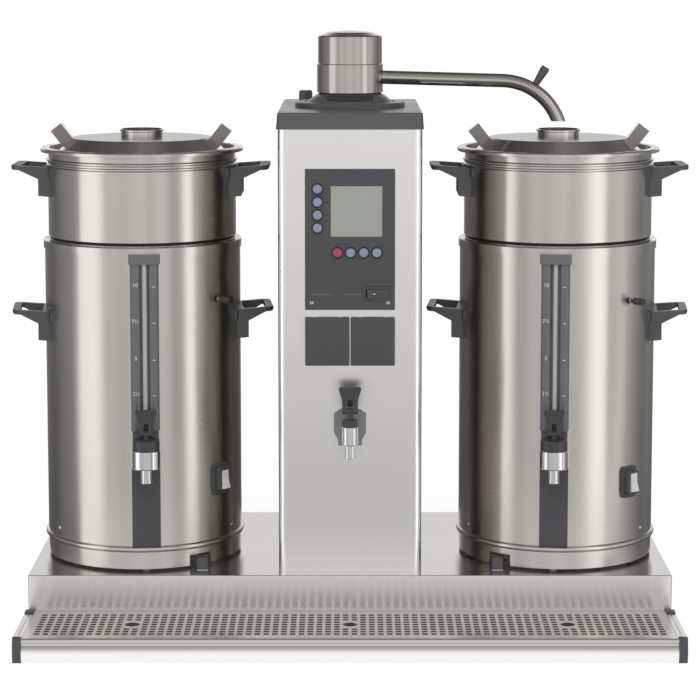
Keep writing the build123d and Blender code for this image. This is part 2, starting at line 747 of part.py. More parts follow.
# ---------------------------------------------------------------- socket block and its covers
hinge_radius = flap_thick / 2
hinge_y = column_front - hinge_radius - 0.3
hinge_z = flap_bottom + flap_height - hinge_radius
hinge_pin = 1.2
lug_thick = 4.0
lug_spread = 18.0
socket_radius = 20.0
socket_depth = 22.0
socket_floor = 4.0
contact_ring = 9.0
contact_radius = 2.4
contact_length = 14.0
socket_rise = 28.0             # socket's middle above the openings' lower edge
block_behind = column_front + sheet + seat_gap      # block's face behind the housing's sheet
socket_places = [(-flap_x, socket_bottom + socket_rise), (flap_x, socket_bottom + socket_rise)]
lug_radius = hinge_pin + 0.6
with BuildPart() as socket_block:
    with BuildSketch(Plane.XZ.offset(-column_front - socket_depth - socket_floor)):
        with Locations((0, socket_mid)):
            Rectangle(2 * flap_x + socket_width + 4, socket_top - socket_bottom + 4)
    extrude(amount=column_front + socket_depth + socket_floor - block_behind)
    with BuildSketch(Plane.XZ.offset(-block_behind)):
        with Locations((-flap_x, socket_mid), (flap_x, socket_mid)):
            Rectangle(socket_width - 0.2, socket_top - socket_bottom - 0.2)
    extrude(amount=block_behind - column_front)
    with BuildSketch(Plane.XZ.offset(-column_front)):
        with Locations(*socket_places):
            Circle(socket_radius)
    extrude(amount=-socket_depth, mode=Mode.SUBTRACT)
    with BuildSketch(Plane.XZ.offset(-column_front - socket_depth)):
        with Locations(*socket_places):
            with PolarLocations(contact_ring, 3, start_angle=90):
                Circle(contact_radius)
    extrude(amount=contact_length)
    for x in (-flap_x - lug_spread, -flap_x + lug_spread, flap_x - lug_spread, flap_x + lug_spread):
        with BuildSketch(Plane.YZ.offset(x - lug_thick / 2)):
            with Locations((hinge_y, hinge_z)):
                Circle(lug_radius)
            with Locations(((hinge_y + column_front) / 2, hinge_z)):
                Rectangle(column_front - hinge_y, 2 * lug_radius)
        extrude(amount=lug_thick)
        with BuildSketch(Plane.YZ.offset(x - lug_thick / 2)):
            with Locations((hinge_y, hinge_z)):
                Circle(hinge_pin + running)
        extrude(amount=lug_thick, mode=Mode.SUBTRACT)
keep(socket_block.part, "socket_block")

with BuildPart() as flap:
    with BuildSketch(Plane.YZ.offset(-flap_width / 2)):
        with Locations((hinge_y, hinge_z)):
            Circle(hinge_radius)
        with Locations((hinge_y, (hinge_z + flap_bottom) / 2)):
            Rectangle(flap_thick, hinge_z - flap_bottom)
    extrude(amount=flap_width)
    fillet(flap.edges().filter_by(Axis.X).group_by(Axis.Z)[0].sort_by(Axis.Y)[0], radius=1.5)
    fillet(flap.edges().filter_by(Axis.Y).group_by(Axis.Z)[0], radius=1.5)
    with BuildSketch(Plane.XZ.offset(-hinge_y + lug_radius + apart)):
        with Locations((-lug_spread, hinge_z), (lug_spread, hinge_z)):
            Rectangle(lug_thick + 2 * apart, 10)
    extrude(amount=-lug_radius - apart - flap_thick, mode=Mode.SUBTRACT)
    with BuildSketch(Plane.XZ.offset(-hinge_y - hinge_radius)):
        with Locations((0, (flap_bottom + hinge_z) / 2 - 3)):
            Rectangle(flap_width - 6, hinge_z - flap_bottom - 16)
    extrude(amount=flap_thick - 2.5, mode=Mode.SUBTRACT)
    with BuildSketch(Plane.YZ.offset(-flap_width / 2 + 2)):
        with Locations((hinge_y, hinge_z)):
            Circle(hinge_pin)
    extrude(amount=flap_width - 4)
keep(Pos(-flap_x, 0, 0) * flap.part, "socket_flap_left")
keep(Pos(flap_x, 0, 0) * flap.part, "socket_flap_right")

# ---------------------------------------------------------------- taps
nozzle_radius = 7.5
nozzle_bore = 5.0
outlet_ring = 4.5              # height of the ring at the nozzle's end
pivot_pin = 2.0
pivot_boss = 4.0               # radius of the blade's round top
fork_round = 4.4               # radius of the lever's legs round the pin
fork_depth = 15.5              # from the pin to the top of the gap between the legs
lever_lean = 3.0               # how far the paddle's top stands forward
lever_edge = 5.0               # paddle's thickness at its top
lever_width = 33.0             # paddle's width at its top


def tap_body(wall, reach, radius, height, nozzle):
    """A tap's cast body. Its inlet lies along Y at z = 0 and passes back through the wall."""
    with BuildPart() as made:
        with BuildSketch(Plane.XZ.offset(-wall)):
            Circle(tap_stub)
        extrude(amount=wall + reach)
        with BuildSketch(Plane.XY.offset(-height / 2)):
            with Locations((0, -reach)):
                Circle(radius)
        extrude(amount=height)
        chamfer(made.edges().filter_by(GeomType.CIRCLE).group_by(Axis.Z)[0], length=1.6)
        fillet(made.edges().filter_by(GeomType.CIRCLE).group_by(Axis.Z)[-1], radius=0.8)
        with BuildSketch(Plane.XZ.offset(reach)):
            with BuildLine():
                low = -height / 2 - nozzle
                groove = low + outlet_ring
                Polyline(
                    (nozzle_bore, low), (nozzle_radius, low), (nozzle_radius + 0.5, low + 0.5),
                    (nozzle_radius + 0.5, groove), (nozzle_radius - 0.7, groove),
                    (nozzle_radius - 0.7, groove + 0.8), (nozzle_radius, groove + 0.8),
                    (nozzle_radius, 1 - height / 2), (nozzle_bore, 1 - height / 2), (nozzle_bore, low),
                )
            make_face()
        revolve(axis=Axis((0, -reach, 0), (0, 0, 1)))
        with BuildSketch(Plane.XZ.offset(-wall)):
            Circle(tap_stub - 2)
        extrude(amount=wall + reach, mode=Mode.SUBTRACT)
    return made.part


def tap_bonnet(reach, radius, bottom, height, pivot, blade):
    """The screwed bonnet on a tap, with the upright blade that the lever is pinned to."""
    top = bottom + height
    with BuildPart() as made:
        with BuildSketch(Plane.XY.offset(bottom)):
            with Locations((0, -reach)):
                Circle(radius)
        extrude(amount=height)
        fillet(made.edges().group_by(Axis.Z)[-1], radius=2)
        with BuildSketch(Plane.YZ.offset(-blade / 2)):
            with Locations((-reach, pivot)):
                Circle(pivot_boss)
            with Locations((-reach, (pivot + top - 1) / 2)):
                Rectangle(2 * pivot_boss - 1, pivot - top + 1)
        extrude(amount=blade)
        with BuildSketch(Plane.YZ.offset(-blade / 2)):
            with Locations((-reach, pivot)):
                Circle(pivot_pin + running)
        extrude(amount=blade, mode=Mode.SUBTRACT)
    return made.part


def tap_lever(reach, pivot, rise, blade, leg, width):
    """The lever of a tap: two legs round the bonnet's blade, and a paddle above them."""
    half_gap = blade / 2 + apart
    half_low = half_gap + leg
    neck, top = pivot + fork_depth, pivot + rise
    with BuildPart() as made:
        with BuildSketch(Plane.XZ.offset(reach - 2 * fork_round)) as face:
            with BuildLine():
                Polyline(
                    (-half_low, pivot - fork_round), (-half_low, neck), (-width / 2, top),
                    (width / 2, top), (half_low, neck), (half_low, pivot - fork_round),
                    (-half_low, pivot - fork_round),
                )
            make_face()
            fillet(face.vertices().group_by(Axis.Z)[-1], radius=3)
        extrude(amount=4 * fork_round)
        with BuildSketch(Plane.YZ.offset(-width / 2)) as profile:
            with BuildLine():
                Polyline(
                    (fork_round - reach, pivot), (fork_round - reach, pivot + 8),
                    (lever_edge / 2 - lever_lean - reach, top), (-lever_edge / 2 - lever_lean - reach, top),
                    (-fork_round - reach, pivot + 8), (-fork_round - reach, pivot),
                    (fork_round - reach, pivot),
                )
            make_face()
            with Locations((-reach, pivot)):
                Circle(fork_round)
            fillet(profile.vertices().group_by(Axis.Z)[-1], radius=1.2)
        extrude(amount=width, mode=Mode.INTERSECT)
        with BuildSketch(Plane.XZ.offset(reach - 2 * fork_round)):
            with Locations((0, (neck + pivot) / 2 - fork_round)):
                Rectangle(2 * half_gap, fork_depth + 2 * fork_round)
        extrude(amount=4 * fork_round, mode=Mode.SUBTRACT)
        with BuildSketch(Plane.YZ.offset(-half_low)):
            with Locations((-reach, pivot)):
                Circle(pivot_pin)
        extrude(amount=2 * half_low)
    return made.part


hot_reach = 31.0
hot_radius = 11.4
hot_height = 26.0
hot_nozzle = 19.0
hot_stub = 12.0                # length of the tap's stub inside the housing
hot_bonnet_height = 10.0
hot_blade = 8.5                # width of the bonnet's blade between the lever's legs
hot_leg = 6.2
hot_plate = 3.0
hot_plate_below, hot_plate_above = 19.3, 32.2       # plate's edges, from the tap's inlet
hot_plate_half, hot_plate_foot = 22.5, 16.5         # half widths of the plate and of its foot
hot_lever_rise = 34.0
hot_pivot = hot_height / 2 + hot_bonnet_height + 12.0
hot_seat = Location((0, column_front, hot_tap_height))
with BuildPart() as hot_tap_backplate:
    with BuildSketch(Plane.XZ.offset(-column_front)):
        with BuildLine():
            low, high = hot_tap_height - hot_plate_below, hot_tap_height + hot_plate_above
            crown = hot_plate_half - 9
            Polyline(
                (crown, high), (hot_plate_half, high - 6), (hot_plate_half, low + 18.5),
                (hot_plate_foot, low + 7.5), (hot_plate_foot, low), (-hot_plate_foot, low),
                (-hot_plate_foot, low + 7.5), (-hot_plate_half, low + 18.5),
                (-hot_plate_half, high - 6), (-crown, high),
            )
            ThreePointArc((-crown, high), (0, high + 2), (crown, high))
        make_face()
        with Locations((0, hot_tap_height)):
            Circle(tap_stub + running, mode=Mode.SUBTRACT)
    extrude(amount=hot_plate)
    fillet(hot_tap_backplate.faces().sort_by(Axis.Y)[0].edges().filter_by(GeomType.LINE), radius=0.8)
keep(hot_tap_backplate.part, "hot_tap_backplate")
keep(hot_seat * tap_body(hot_stub, hot_reach, hot_radius, hot_height, hot_nozzle), "hot_tap_body")
hot_bonnet = tap_bonnet(
    hot_reach, hot_radius - 0.2, hot_height / 2, hot_bonnet_height, hot_pivot, hot_blade
)
keep(hot_seat * hot_bonnet, "hot_tap_bonnet")
hot_lever = tap_lever(hot_reach, hot_pivot, hot_lever_rise, hot_blade, hot_leg, lever_width)
keep(hot_seat * hot_lever, "hot_tap_lever")

# ---------------------------------------------------------------- insulated container
# All pieces of a container are made round the Z axis with the tap towards -Y, then seated.
skirt_radius = urn_radius - 0.75
bead_proud = 3.75
bead_half = 4.5
band_radius = urn_radius + 1.75                    # rim band
band_height = 12.0
floor_plate = bead_height - bead_half              # underside of the shell's bottom plate
urn_foot = 9.0                 # radius of the feet under the bottom plate
urn_foot_place = urn_radius - 25.75
stud_turn = 48.8               # degrees from the tap to the lifting stud
stud_height = urn_top - 79.0
tank_clear = 0.2               # between the tank and the shell's inward rim
stub_clear = 0.08              # radial clearance of a tap's stub in its wall
shell_inside = urn_radius - urn_wall

with BuildPart() as shell:
    with BuildSketch(Plane.XZ):
        with BuildLine():
            Polyline(
                (0, floor_plate + urn_wall), (0, floor_plate), (skirt_radius - urn_wall, floor_plate),
                (skirt_radius - urn_wall, urn_bottom), (skirt_radius, urn_bottom),
                (skirt_radius, bead_height - bead_half),
            )
            ThreePointArc(
                (skirt_radius, bead_height - bead_half), (urn_radius + bead_proud, bead_height),
                (urn_radius, bead_height + bead_half),
            )
            Polyline(
                (urn_radius, bead_height + bead_half), (urn_radius, urn_top - band_height),
                (band_radius, urn_top - band_height), (band_radius, urn_top - 1),
                (band_radius - 1, urn_top), (tank_radius + tank_wall + tank_clear, urn_top),
                (tank_radius + tank_wall + tank_clear, urn_top - urn_wall),
                (shell_inside, urn_top - urn_wall), (shell_inside, floor_plate + urn_wall),
                (0, floor_plate + urn_wall),
            )
        make_face()
    revolve(axis=Axis.Z)
    with BuildSketch(Plane.XZ.offset(urn_radius - 20)):
        with Locations((0, tap_height)):
            Circle(tap_stub + stub_clear)
    extrude(amount=40, mode=Mode.SUBTRACT)
    with BuildSketch(Plane.XY.offset(platform_top)):
        with PolarLocations(urn_foot_place, 4):
            Circle(urn_foot)
    extrude(amount=floor_plate - platform_top + 0.2)
    stud_plane = Plane.XZ.rotated((0, 0, stud_turn))
    with BuildSketch(stud_plane.offset(urn_radius - 0.6)):
        with Locations((0, stud_height)):
            Circle(3)
    extrude(amount=8)
    with BuildSketch(stud_plane.offset(urn_radius + 6)):
        with Locations((0, stud_height)):
            Circle(5)
    extrude(amount=16)


def notched_shell(side):
    """The shell with the notch that passes over the platform's lug. The lug is on the inner side."""
    with BuildPart() as made:
        add(shell.part)
        with BuildSketch(Plane.XY.rotated((0, 0, side * urn_turn)).offset(urn_bottom)):
            with Locations((side * (notch_shift - lug_beside), lug_y - urn_y)):
                Rectangle(notch_width, lug_length + 24)
        extrude(amount=platform_top + notch_height - urn_bottom, mode=Mode.SUBTRACT)
    return made.part


pipe_radius = 8.0
pipe_bend = 22.0
tank_floor = tap_height + 37.0
tank_fall = 5.0                # the floor dips this far towards its outlet
tank_flange = tank_radius + 7.0
stub_back = urn_radius - 12.0                      # where the outlet pipe meets the tap
with BuildPart() as tank:
    with BuildSketch(Plane.XZ):
        with BuildLine():
            Polyline(
                (0, tank_floor - tank_fall), (0, tank_floor - tank_fall - tank_wall),
                (tank_radius + tank_wall, tank_floor - tank_wall),
                (tank_radius + tank_wall, urn_top), (tank_flange, urn_top),
                (tank_flange, vessel_bottom), (tank_radius, vessel_bottom),
                (tank_radius, tank_floor), (0, tank_floor - tank_fall),
            )
        make_face()
    revolve(axis=Axis.Z)
    with BuildSketch(Plane.XY.offset(tank_floor - 10)):
        Circle(pipe_radius - tank_wall)
    extrude(amount=10, mode=Mode.SUBTRACT)
    pipe_start = tank_floor - tank_fall
    with BuildLine(Plane.YZ) as pipe_path:
        Line((0, pipe_start), (0, tap_height + pipe_bend))
        RadiusArc((0, tap_height + pipe_bend), (-pipe_bend, tap_height), pipe_bend)
        Line((-pipe_bend, tap_height), (-stub_back, tap_height))
    with BuildSketch(Plane((0, 0, pipe_start), z_dir=(0, 0, -1))):
        Circle(pipe_radius)
        Circle(pipe_radius - tank_wall, mode=Mode.SUBTRACT)
    sweep(path=pipe_path.line)

# ---------------------------------------------------------------- sight gauge
rail_width = 40.0
rail_radius = 7.25
rail_proud = 9.0
rail_bottom = tap_height + 35.0
rail_top = urn_top - 8.4
strip_proud = 3.0
strip_bottom = bead_height + bead_half + 0.3
gauge_slot = 11.0
gauge_floor = 1.0              # moulding left behind the sight tube
gauge_cap = 13.6               # height of the cap over the tube
tube_radius = 3.25
plate_width = 46.4             # steel plate behind the tap
plate_height = 45.0
plate_thick = 1.2
plate_mid = tap_height + 21.0
plate_bottom = plate_mid - plate_height / 2
tap_collar = 11.0
waist = 37.0                   # moulding's width where it crosses the plate
tube_y = -(urn_radius + plate_thick + tube_radius + 0.3)
rail_y = -(urn_radius + rail_proud - rail_radius)

with BuildPart() as gauge_rail:
    with BuildSketch(Plane.XY.offset(strip_bottom)):
        with Locations((0, -urn_radius)):
            Rectangle(rail_width, 2 * strip_proud)
    extrude(amount=rail_top - strip_bottom)
    with BuildSketch(Plane.XY.offset(rail_bottom)):
        with Locations((rail_radius - rail_width / 2, rail_y), (rail_width / 2 - rail_radius, rail_y)):
            Circle(rail_radius)
    extrude(amount=rail_top - rail_bottom)
    with BuildSketch(Plane.XY.offset(rail_top - gauge_cap)):
        with Locations((0, -urn_radius - rail_proud / 2)):
            RectangleRounded(rail_width + 4, rail_proud + 3, 3)
    extrude(amount=gauge_cap)
    with BuildSketch(Plane.XY.offset(rail_bottom + 3)):
        with Locations((0, -urn_radius - gauge_floor - rail_proud)):
            Rectangle(gauge_slot, 2 * rail_proud)
    extrude(amount=rail_top - gauge_cap - rail_bottom - 3, mode=Mode.SUBTRACT)
    with BuildSketch(Plane.XY.offset(rail_bottom)):
        with Locations((0, -urn_radius - rail_proud / 2)):
            Rectangle(gauge_slot + 2, rail_proud)
    extrude(amount=3)
    with BuildSketch(Plane.XY.offset(rail_top - gauge_cap)):
        with Locations((0, tube_y)):
            Circle(tube_radius + running)
    extrude(amount=4, mode=Mode.SUBTRACT)
    with BuildSketch(Plane.XZ.offset(urn_radius - 10)):
        for side in (-1, 1):
            with Locations((side * (waist + rail_width) / 2, (plate_bottom + rail_bottom) / 2)):
                Rectangle(rail_width, rail_bottom - plate_bottom)
        with Locations((0, tap_height)):
            Circle(tap_collar + 0.2)
    extrude(amount=30, mode=Mode.SUBTRACT)
    with BuildSketch(Plane.XY.offset(plate_bottom - 0.5)):
        Circle(urn_radius + plate_thick + 2 * seat_gap)
    extrude(amount=plate_height + 1, mode=Mode.SUBTRACT)
    with BuildSketch(Plane.XY.offset(strip_bottom)):
        Circle(urn_radius + seat_gap)
    extrude(amount=rail_top - strip_bottom, mode=Mode.SUBTRACT)
    with BuildSketch(Plane.XY.offset(urn_top - band_height - 0.2)):
        Circle(band_radius + seat_gap)
    extrude(amount=band_height, mode=Mode.SUBTRACT)

with BuildPart() as gauge_tube:
    with BuildSketch(Plane.XY.offset(rail_bottom + 3)):
        with Locations((0, tube_y)):
            Circle(tube_radius)
            Circle(tube_radius - 1, mode=Mode.SUBTRACT)
    extrude(amount=rail_top - gauge_cap - rail_bottom)

# ---------------------------------------------------------------- container tap
urn_reach = 31.0
urn_tap_radius = 20.4
urn_tap_height = 26.0
urn_nozzle = 21.0
urn_bonnet_height = 15.0
urn_blade = 6.6
urn_leg = 5.2
urn_lever_rise = 35.0
urn_bonnet_radius = 19.0
urn_pivot = urn_tap_height / 2 + urn_bonnet_height + 7.0
urn_tap_seat = Location((0, -urn_radius, tap_height))
urn_tap_lever = urn_tap_seat * tap_lever(
    urn_reach, urn_pivot, urn_lever_rise, urn_blade, urn_leg, lever_width
)
urn_tap_bonnet = urn_tap_seat * tap_bonnet(
    urn_reach, urn_bonnet_radius, urn_tap_height / 2, urn_bonnet_height, urn_pivot, urn_blade
)
with BuildPart() as tap_plate:
    with BuildSketch(Plane.XZ.offset(urn_radius - 8)) as plate_plan:
        with Locations((0, plate_mid)):
            Rectangle(plate_width, plate_height)
        chamfer(plate_plan.vertices(), length=7)
    extrude(amount=16)
    with BuildSketch(Plane.XY.offset(plate_mid - plate_height)):
        Circle(urn_radius + plate_thick + seat_gap)
        Circle(urn_radius + seat_gap, mode=Mode.SUBTRACT)
    extrude(amount=2 * plate_height, mode=Mode.INTERSECT)
    with BuildSketch(Plane.XZ.offset(urn_radius + seat_gap)):
        with Locations((0, tap_height)):
            Circle(tap_collar)
            Circle(tap_stub - 1, mode=Mode.SUBTRACT)
    extrude(amount=urn_reach - 12)
with BuildPart() as urn_tap_body:
    add(tap_plate.part)
    add(
        urn_tap_seat
        * tap_body(urn_radius - stub_back, urn_reach, urn_tap_radius, urn_tap_height, urn_nozzle)
    )

# ---------------------------------------------------------------- handles
handle_block = 9.75            # how far the block under the grip stands out
handle_arm = 9.0
handle_opening = 32.0          # finger opening, out from the wall
handle_wing = 9.0              # flange beyond the grip's width, at the top
handle_block_height = 26.0
handle_corner = 16.0


def handle(wall, reach, bottom):
    """A moulded handle on a round wall, reaching towards +X, with its finger opening."""
    with BuildPart() as made:
        with BuildSketch(Plane.XZ.offset(-handle_width / 2)):
            with BuildLine():
                Polyline(
                    (wall + reach - 1.25, bottom + handle_height + 2),
                    (wall - 12, bottom + handle_height - 2),
                    (wall - 12, bottom), (wall + handle_block, bottom + 2),
                    (wall + handle_block, bottom + handle_block_height),
                    (wall + reach - 12, bottom + handle_height - 5),
                    (wall + reach - 3.25, bottom + handle_height - 5),
                )
                ThreePointArc(
                    (wall + reach - 3.25, bottom + handle_height - 5),
                    (wall + reach, bottom + handle_height - 1.5),
                    (wall + reach - 1.25, bottom + handle_height + 2),
                )
            make_face()
        extrude(amount=handle_width)
        with BuildSketch(Plane.XY.offset(bottom)) as grip_plan:
            with Locations((wall, 0)):
                Rectangle(2 * reach, handle_width)
            fillet(grip_plan.vertices().group_by(Axis.X)[-1], radius=handle_corner)
        extrude(amount=2 * handle_height, mode=Mode.INTERSECT)
        with BuildSketch(Plane.XY.offset(bottom + handle_block_height)):
            with Locations((wall + 3.25 + handle_opening / 2, 0)):
                RectangleRounded(handle_opening, handle_width - 2 * handle_arm, 4)
        extrude(amount=handle_height, mode=Mode.SUBTRACT)
        with BuildSketch(Plane.XY.offset(bottom + 30)):
            Circle(wall + 2.5)
            with Locations((wall, 0)):
                Rectangle(wall, handle_width + 2 * handle_wing, mode=Mode.INTERSECT)
        extrude(amount=handle_height - 32)
        with BuildSketch(Plane.XY.offset(bottom - 1)):
            Circle(wall + seat_gap)
        extrude(amount=2 * handle_height, mode=Mode.SUBTRACT)
    return made.part


def handle_pair(wall, reach, bottom):
    """Two handles on opposite sides of a round wall, as a group of separate solids."""
    one = handle(wall, reach, bottom)
    with BuildPart() as made:
        add(one)
        add(Rot(0, 0, 180) * one)
    return made.part


urn_handle_bottom = urn_top - 144.0
vessel_handle_bottom = ledge_top - 52.3
urn_handles = handle_pair(urn_radius, handle_reach_urn, urn_handle_bottom)
vessel_handles = handle_pair(vessel_radius, handle_reach_vessel, vessel_handle_bottom)

# ---------------------------------------------------------------- heater switch
heater_turn = 48.0             # degrees from the tap to the switch
heater_height = tap_height - 46.0
heater_plate = 3.0
heater_box = 11.0              # housing's front, out from the wall
heater_plate_width, heater_plate_height = 28.0, 45.0
heater_box_width, heater_box_height = 20.0, 34.0
heater_well = 7.0
heater_length = 26.0
heater_width = 13.0
heater_pivot_y = -(urn_radius + heater_box - 2.2)
with BuildPart() as switch_housing:
    with BuildSketch(Plane.XZ.offset(urn_radius - 4)):
        with Locations((0, heater_height)):
            RectangleRounded(heater_plate_width, heater_plate_height, 4)
    extrude(amount=4 + heater_plate)
    with BuildSketch(Plane.XZ.offset(urn_radius)):
        with Locations((0, heater_height)):
            RectangleRounded(heater_box_width, heater_box_height, 3)
    extrude(amount=heater_box)
    with BuildSketch(Plane.XZ.offset(urn_radius + heater_box)):
        with Locations((0, heater_height)):
            Rectangle(heater_width + 0.8, heater_length + 2 * rocker_play)
    extrude(amount=-heater_well, mode=Mode.SUBTRACT)
    with BuildSketch(Plane.YZ.offset(-heater_width / 2 - 2)):
        with Locations((heater_pivot_y, heater_height)):
            Circle(rocker_pin + running)
    extrude(amount=heater_width + 4, mode=Mode.SUBTRACT)
    with BuildSketch(Plane.XY.offset(heater_height - 40)):
        Circle(urn_radius + seat_gap)
    extrude(amount=80, mode=Mode.SUBTRACT)
heater_rocker = (
    Pos(0, heater_pivot_y, heater_height) * Rot(-rocker_tilt, 0, 0) * Rot(0, 90, 0)
    * rocker(heater_length, heater_width, heater_width + 3.4)
)

# ---------------------------------------------------------------- filter vessel, basket and lid
spigot_clear = 1.0             # between the vessel's spigot and the tank's mouth
vessel_spigot = tank_radius - spigot_clear
seat_radius = vessel_radius - 8.0                  # base ring
vessel_low = vessel_bottom + vessel_ring
spout_radius = 10.0
spout_drop = 27.0
ridge = 2.0                    # how far the two rolled ridges stand out
ridge_low = ledge_top - 6.8
ridge_high = ledge_top + 0.2
neck_bottom = ledge_top + 3.0
neck_radius = vessel_radius - 1.0
lip_height = 5.5
ledge_reach = 4.0
with BuildPart() as filter_vessel:
    inside = vessel_radius - vessel_wall
    with BuildSketch(Plane.XZ):
        with BuildLine():
            Polyline(
                (spout_radius - vessel_wall, vessel_bottom - spout_drop),
                (spout_radius, vessel_bottom - spout_drop), (spout_radius, vessel_bottom - 15),
                (vessel_spigot, vessel_bottom - 7), (vessel_spigot, vessel_bottom),
                (seat_radius, vessel_bottom), (seat_radius, vessel_low), (vessel_radius - 0.8, vessel_low),
                (vessel_radius, vessel_low + 0.8), (vessel_radius, ridge_low - 2.5),
            )
            for mid in (ridge_low, ridge_high):
                ThreePointArc(
                    (vessel_radius, mid - 2.5), (vessel_radius + ridge, mid), (vessel_radius, mid + 2.5)
                )
            Line((vessel_radius, ridge_low + 2.5), (vessel_radius, ridge_high - 2.5))
            Polyline(
                (vessel_radius, ridge_high + 2.5), (neck_radius, neck_bottom),
                (neck_radius, vessel_top - vessel_wall),
                (flange_radius - vessel_wall, vessel_top - vessel_wall),
                (flange_radius - vessel_wall, vessel_top - lip_height),
                (flange_radius, vessel_top - lip_height),
                (flange_radius, vessel_top - 1.5), (flange_radius - 1.5, vessel_top),
                (neck_radius - vessel_wall, vessel_top), (neck_radius - vessel_wall, ledge_top + 1.5),
                (inside, ledge_top + 0.5), (inside, ledge_top), (inside - ledge_reach, ledge_top),
                (inside - ledge_reach, ledge_top - 1.2), (inside, ledge_top - 4),
                (inside, vessel_low + vessel_wall), (seat_radius - vessel_wall, vessel_low + vessel_wall),
                (seat_radius - vessel_wall, vessel_bottom + vessel_wall),
                (vessel_spigot - vessel_wall, vessel_bottom + vessel_wall),
                (vessel_spigot - vessel_wall, vessel_bottom - 6.2),
                (spout_radius - vessel_wall, vessel_bottom - 14),
                (spout_radius - vessel_wall, vessel_bottom - spout_drop),
            )
        make_face()
    revolve(axis=Axis.Z)

basket_rim = neck_radius - vessel_wall - 0.6       # passes the vessel's neck
basket_radius = vessel_radius - 13.0
basket_bottom = ledge_top - basket_depth
basket_foot = basket_radius - 26.0
basket_hole = 5.0
basket_rings = ((basket_foot - 74, 5), (basket_foot - 46, 10), (basket_foot - 18, 16))
with BuildPart() as basket:
    with BuildSketch(Plane.XZ):
        with BuildLine():
            Polyline(
                (0, basket_bottom), (basket_foot, basket_bottom), (basket_radius, ledge_top),
                (basket_rim, ledge_top), (basket_rim, ledge_top + basket_sheet),
                (basket_radius - basket_sheet, ledge_top + basket_sheet),
                (basket_foot - basket_sheet, basket_bottom + basket_sheet), (0, basket_bottom + basket_sheet),
                (0, basket_bottom),
            )
        make_face()
    revolve(axis=Axis.Z)
    with BuildSketch(Plane.XY.offset(basket_bottom)):
        for ring, count in basket_rings:
            with PolarLocations(ring, count):
                Circle(basket_hole)
    extrude(amount=basket_sheet, mode=Mode.SUBTRACT)

lid_disc_radius = vessel_radius - 35.0
lid_sheet = 1.0
inlet_roll = 1.7               # how far the inlet's rolled rim stands out
grip_width = 22.0
grip_length = 28.0
grip_thick = 18.6
grip_lean = 52.0               # degrees that the grips lean out
grip_sheet = 1.2
with BuildPart() as lid:
    with BuildSketch(Plane.XZ):
        with BuildLine():
            inlet = inlet_radius - inlet_roll
            Polyline(
                (basket_rim, lid_foot), (basket_rim, lid_edge), (lid_disc_radius + lid_shoulder, lid_edge),
                (lid_disc_radius, lid_top), (inlet, lid_top), (inlet, lid_top + inlet_rise - 4),
                (inlet_radius, lid_top + inlet_rise - 3), (inlet_radius, lid_top + inlet_rise - 1),
                (inlet, lid_top + inlet_rise), (inlet - lid_sheet, lid_top + inlet_rise),
                (inlet - lid_sheet, lid_top - lid_sheet), (lid_disc_radius - 0.4, lid_top - lid_sheet),
                (lid_disc_radius + lid_shoulder - 0.4, lid_edge - lid_sheet),
                (basket_rim - lid_sheet, lid_edge - lid_sheet), (basket_rim - lid_sheet, lid_foot),
                (basket_rim, lid_foot),
            )
        make_face()
    revolve(axis=Axis.Z)
    for turn in (0, 180):
        grip_foot = Pos(lid_disc_radius + 6.1, 0, lid_top - 6.5) * Rot(0, 90 - grip_lean, 0)
        grip_plane = Plane(Rot(0, 0, turn) * grip_foot)
        with BuildSketch(grip_plane.offset(-1)):
            Rectangle(grip_thick, grip_width)
            Rectangle(grip_thick - 2 * grip_sheet, grip_width - 2 * grip_sheet, mode=Mode.SUBTRACT)
        extrude(amount=grip_length)
        with BuildSketch(grip_plane.offset(grip_length - 1 - grip_sheet)):
            Rectangle(grip_thick, grip_width)
        extrude(amount=grip_sheet)

# ---------------------------------------------------------------- both containers, seated
for side, hand in ((-1, "left"), (1, "right")):
    urn_seat = seat(side)
    filter_seat = Location((side * urn_offset, urn_y, 0))
    keep(urn_seat * notched_shell(side), f"container_shell_{hand}")
    keep(urn_seat * tank.part, f"container_tank_{hand}")
    keep(urn_seat * gauge_rail.part, f"gauge_rail_{hand}")
    keep(urn_seat * gauge_tube.part, f"gauge_tube_{hand}")
    keep(urn_seat * urn_tap_body.part, f"tap_body_{hand}")
    keep(urn_seat * urn_tap_bonnet, f"tap_bonnet_{hand}")
    keep(urn_seat * urn_tap_lever, f"tap_lever_{hand}")
    keep(urn_seat * urn_handles, f"container_handles_{hand}")
    keep(urn_seat * Rot(0, 0, heater_turn) * switch_housing.part, f"switch_housing_{hand}")
    keep(urn_seat * Rot(0, 0, heater_turn) * heater_rocker, f"heater_rocker_{hand}")
    keep(filter_seat * filter_vessel.part, f"filter_vessel_{hand}")
    keep(filter_seat * vessel_handles, f"vessel_handles_{hand}")
    keep(filter_seat * basket.part, f"filter_basket_{hand}")
    keep(filter_seat * lid.part, f"filter_lid_{hand}")
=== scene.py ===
from math import cos, pi, radians, sin, sqrt

import bmesh
import bpy
from mathutils import Matrix, Vector


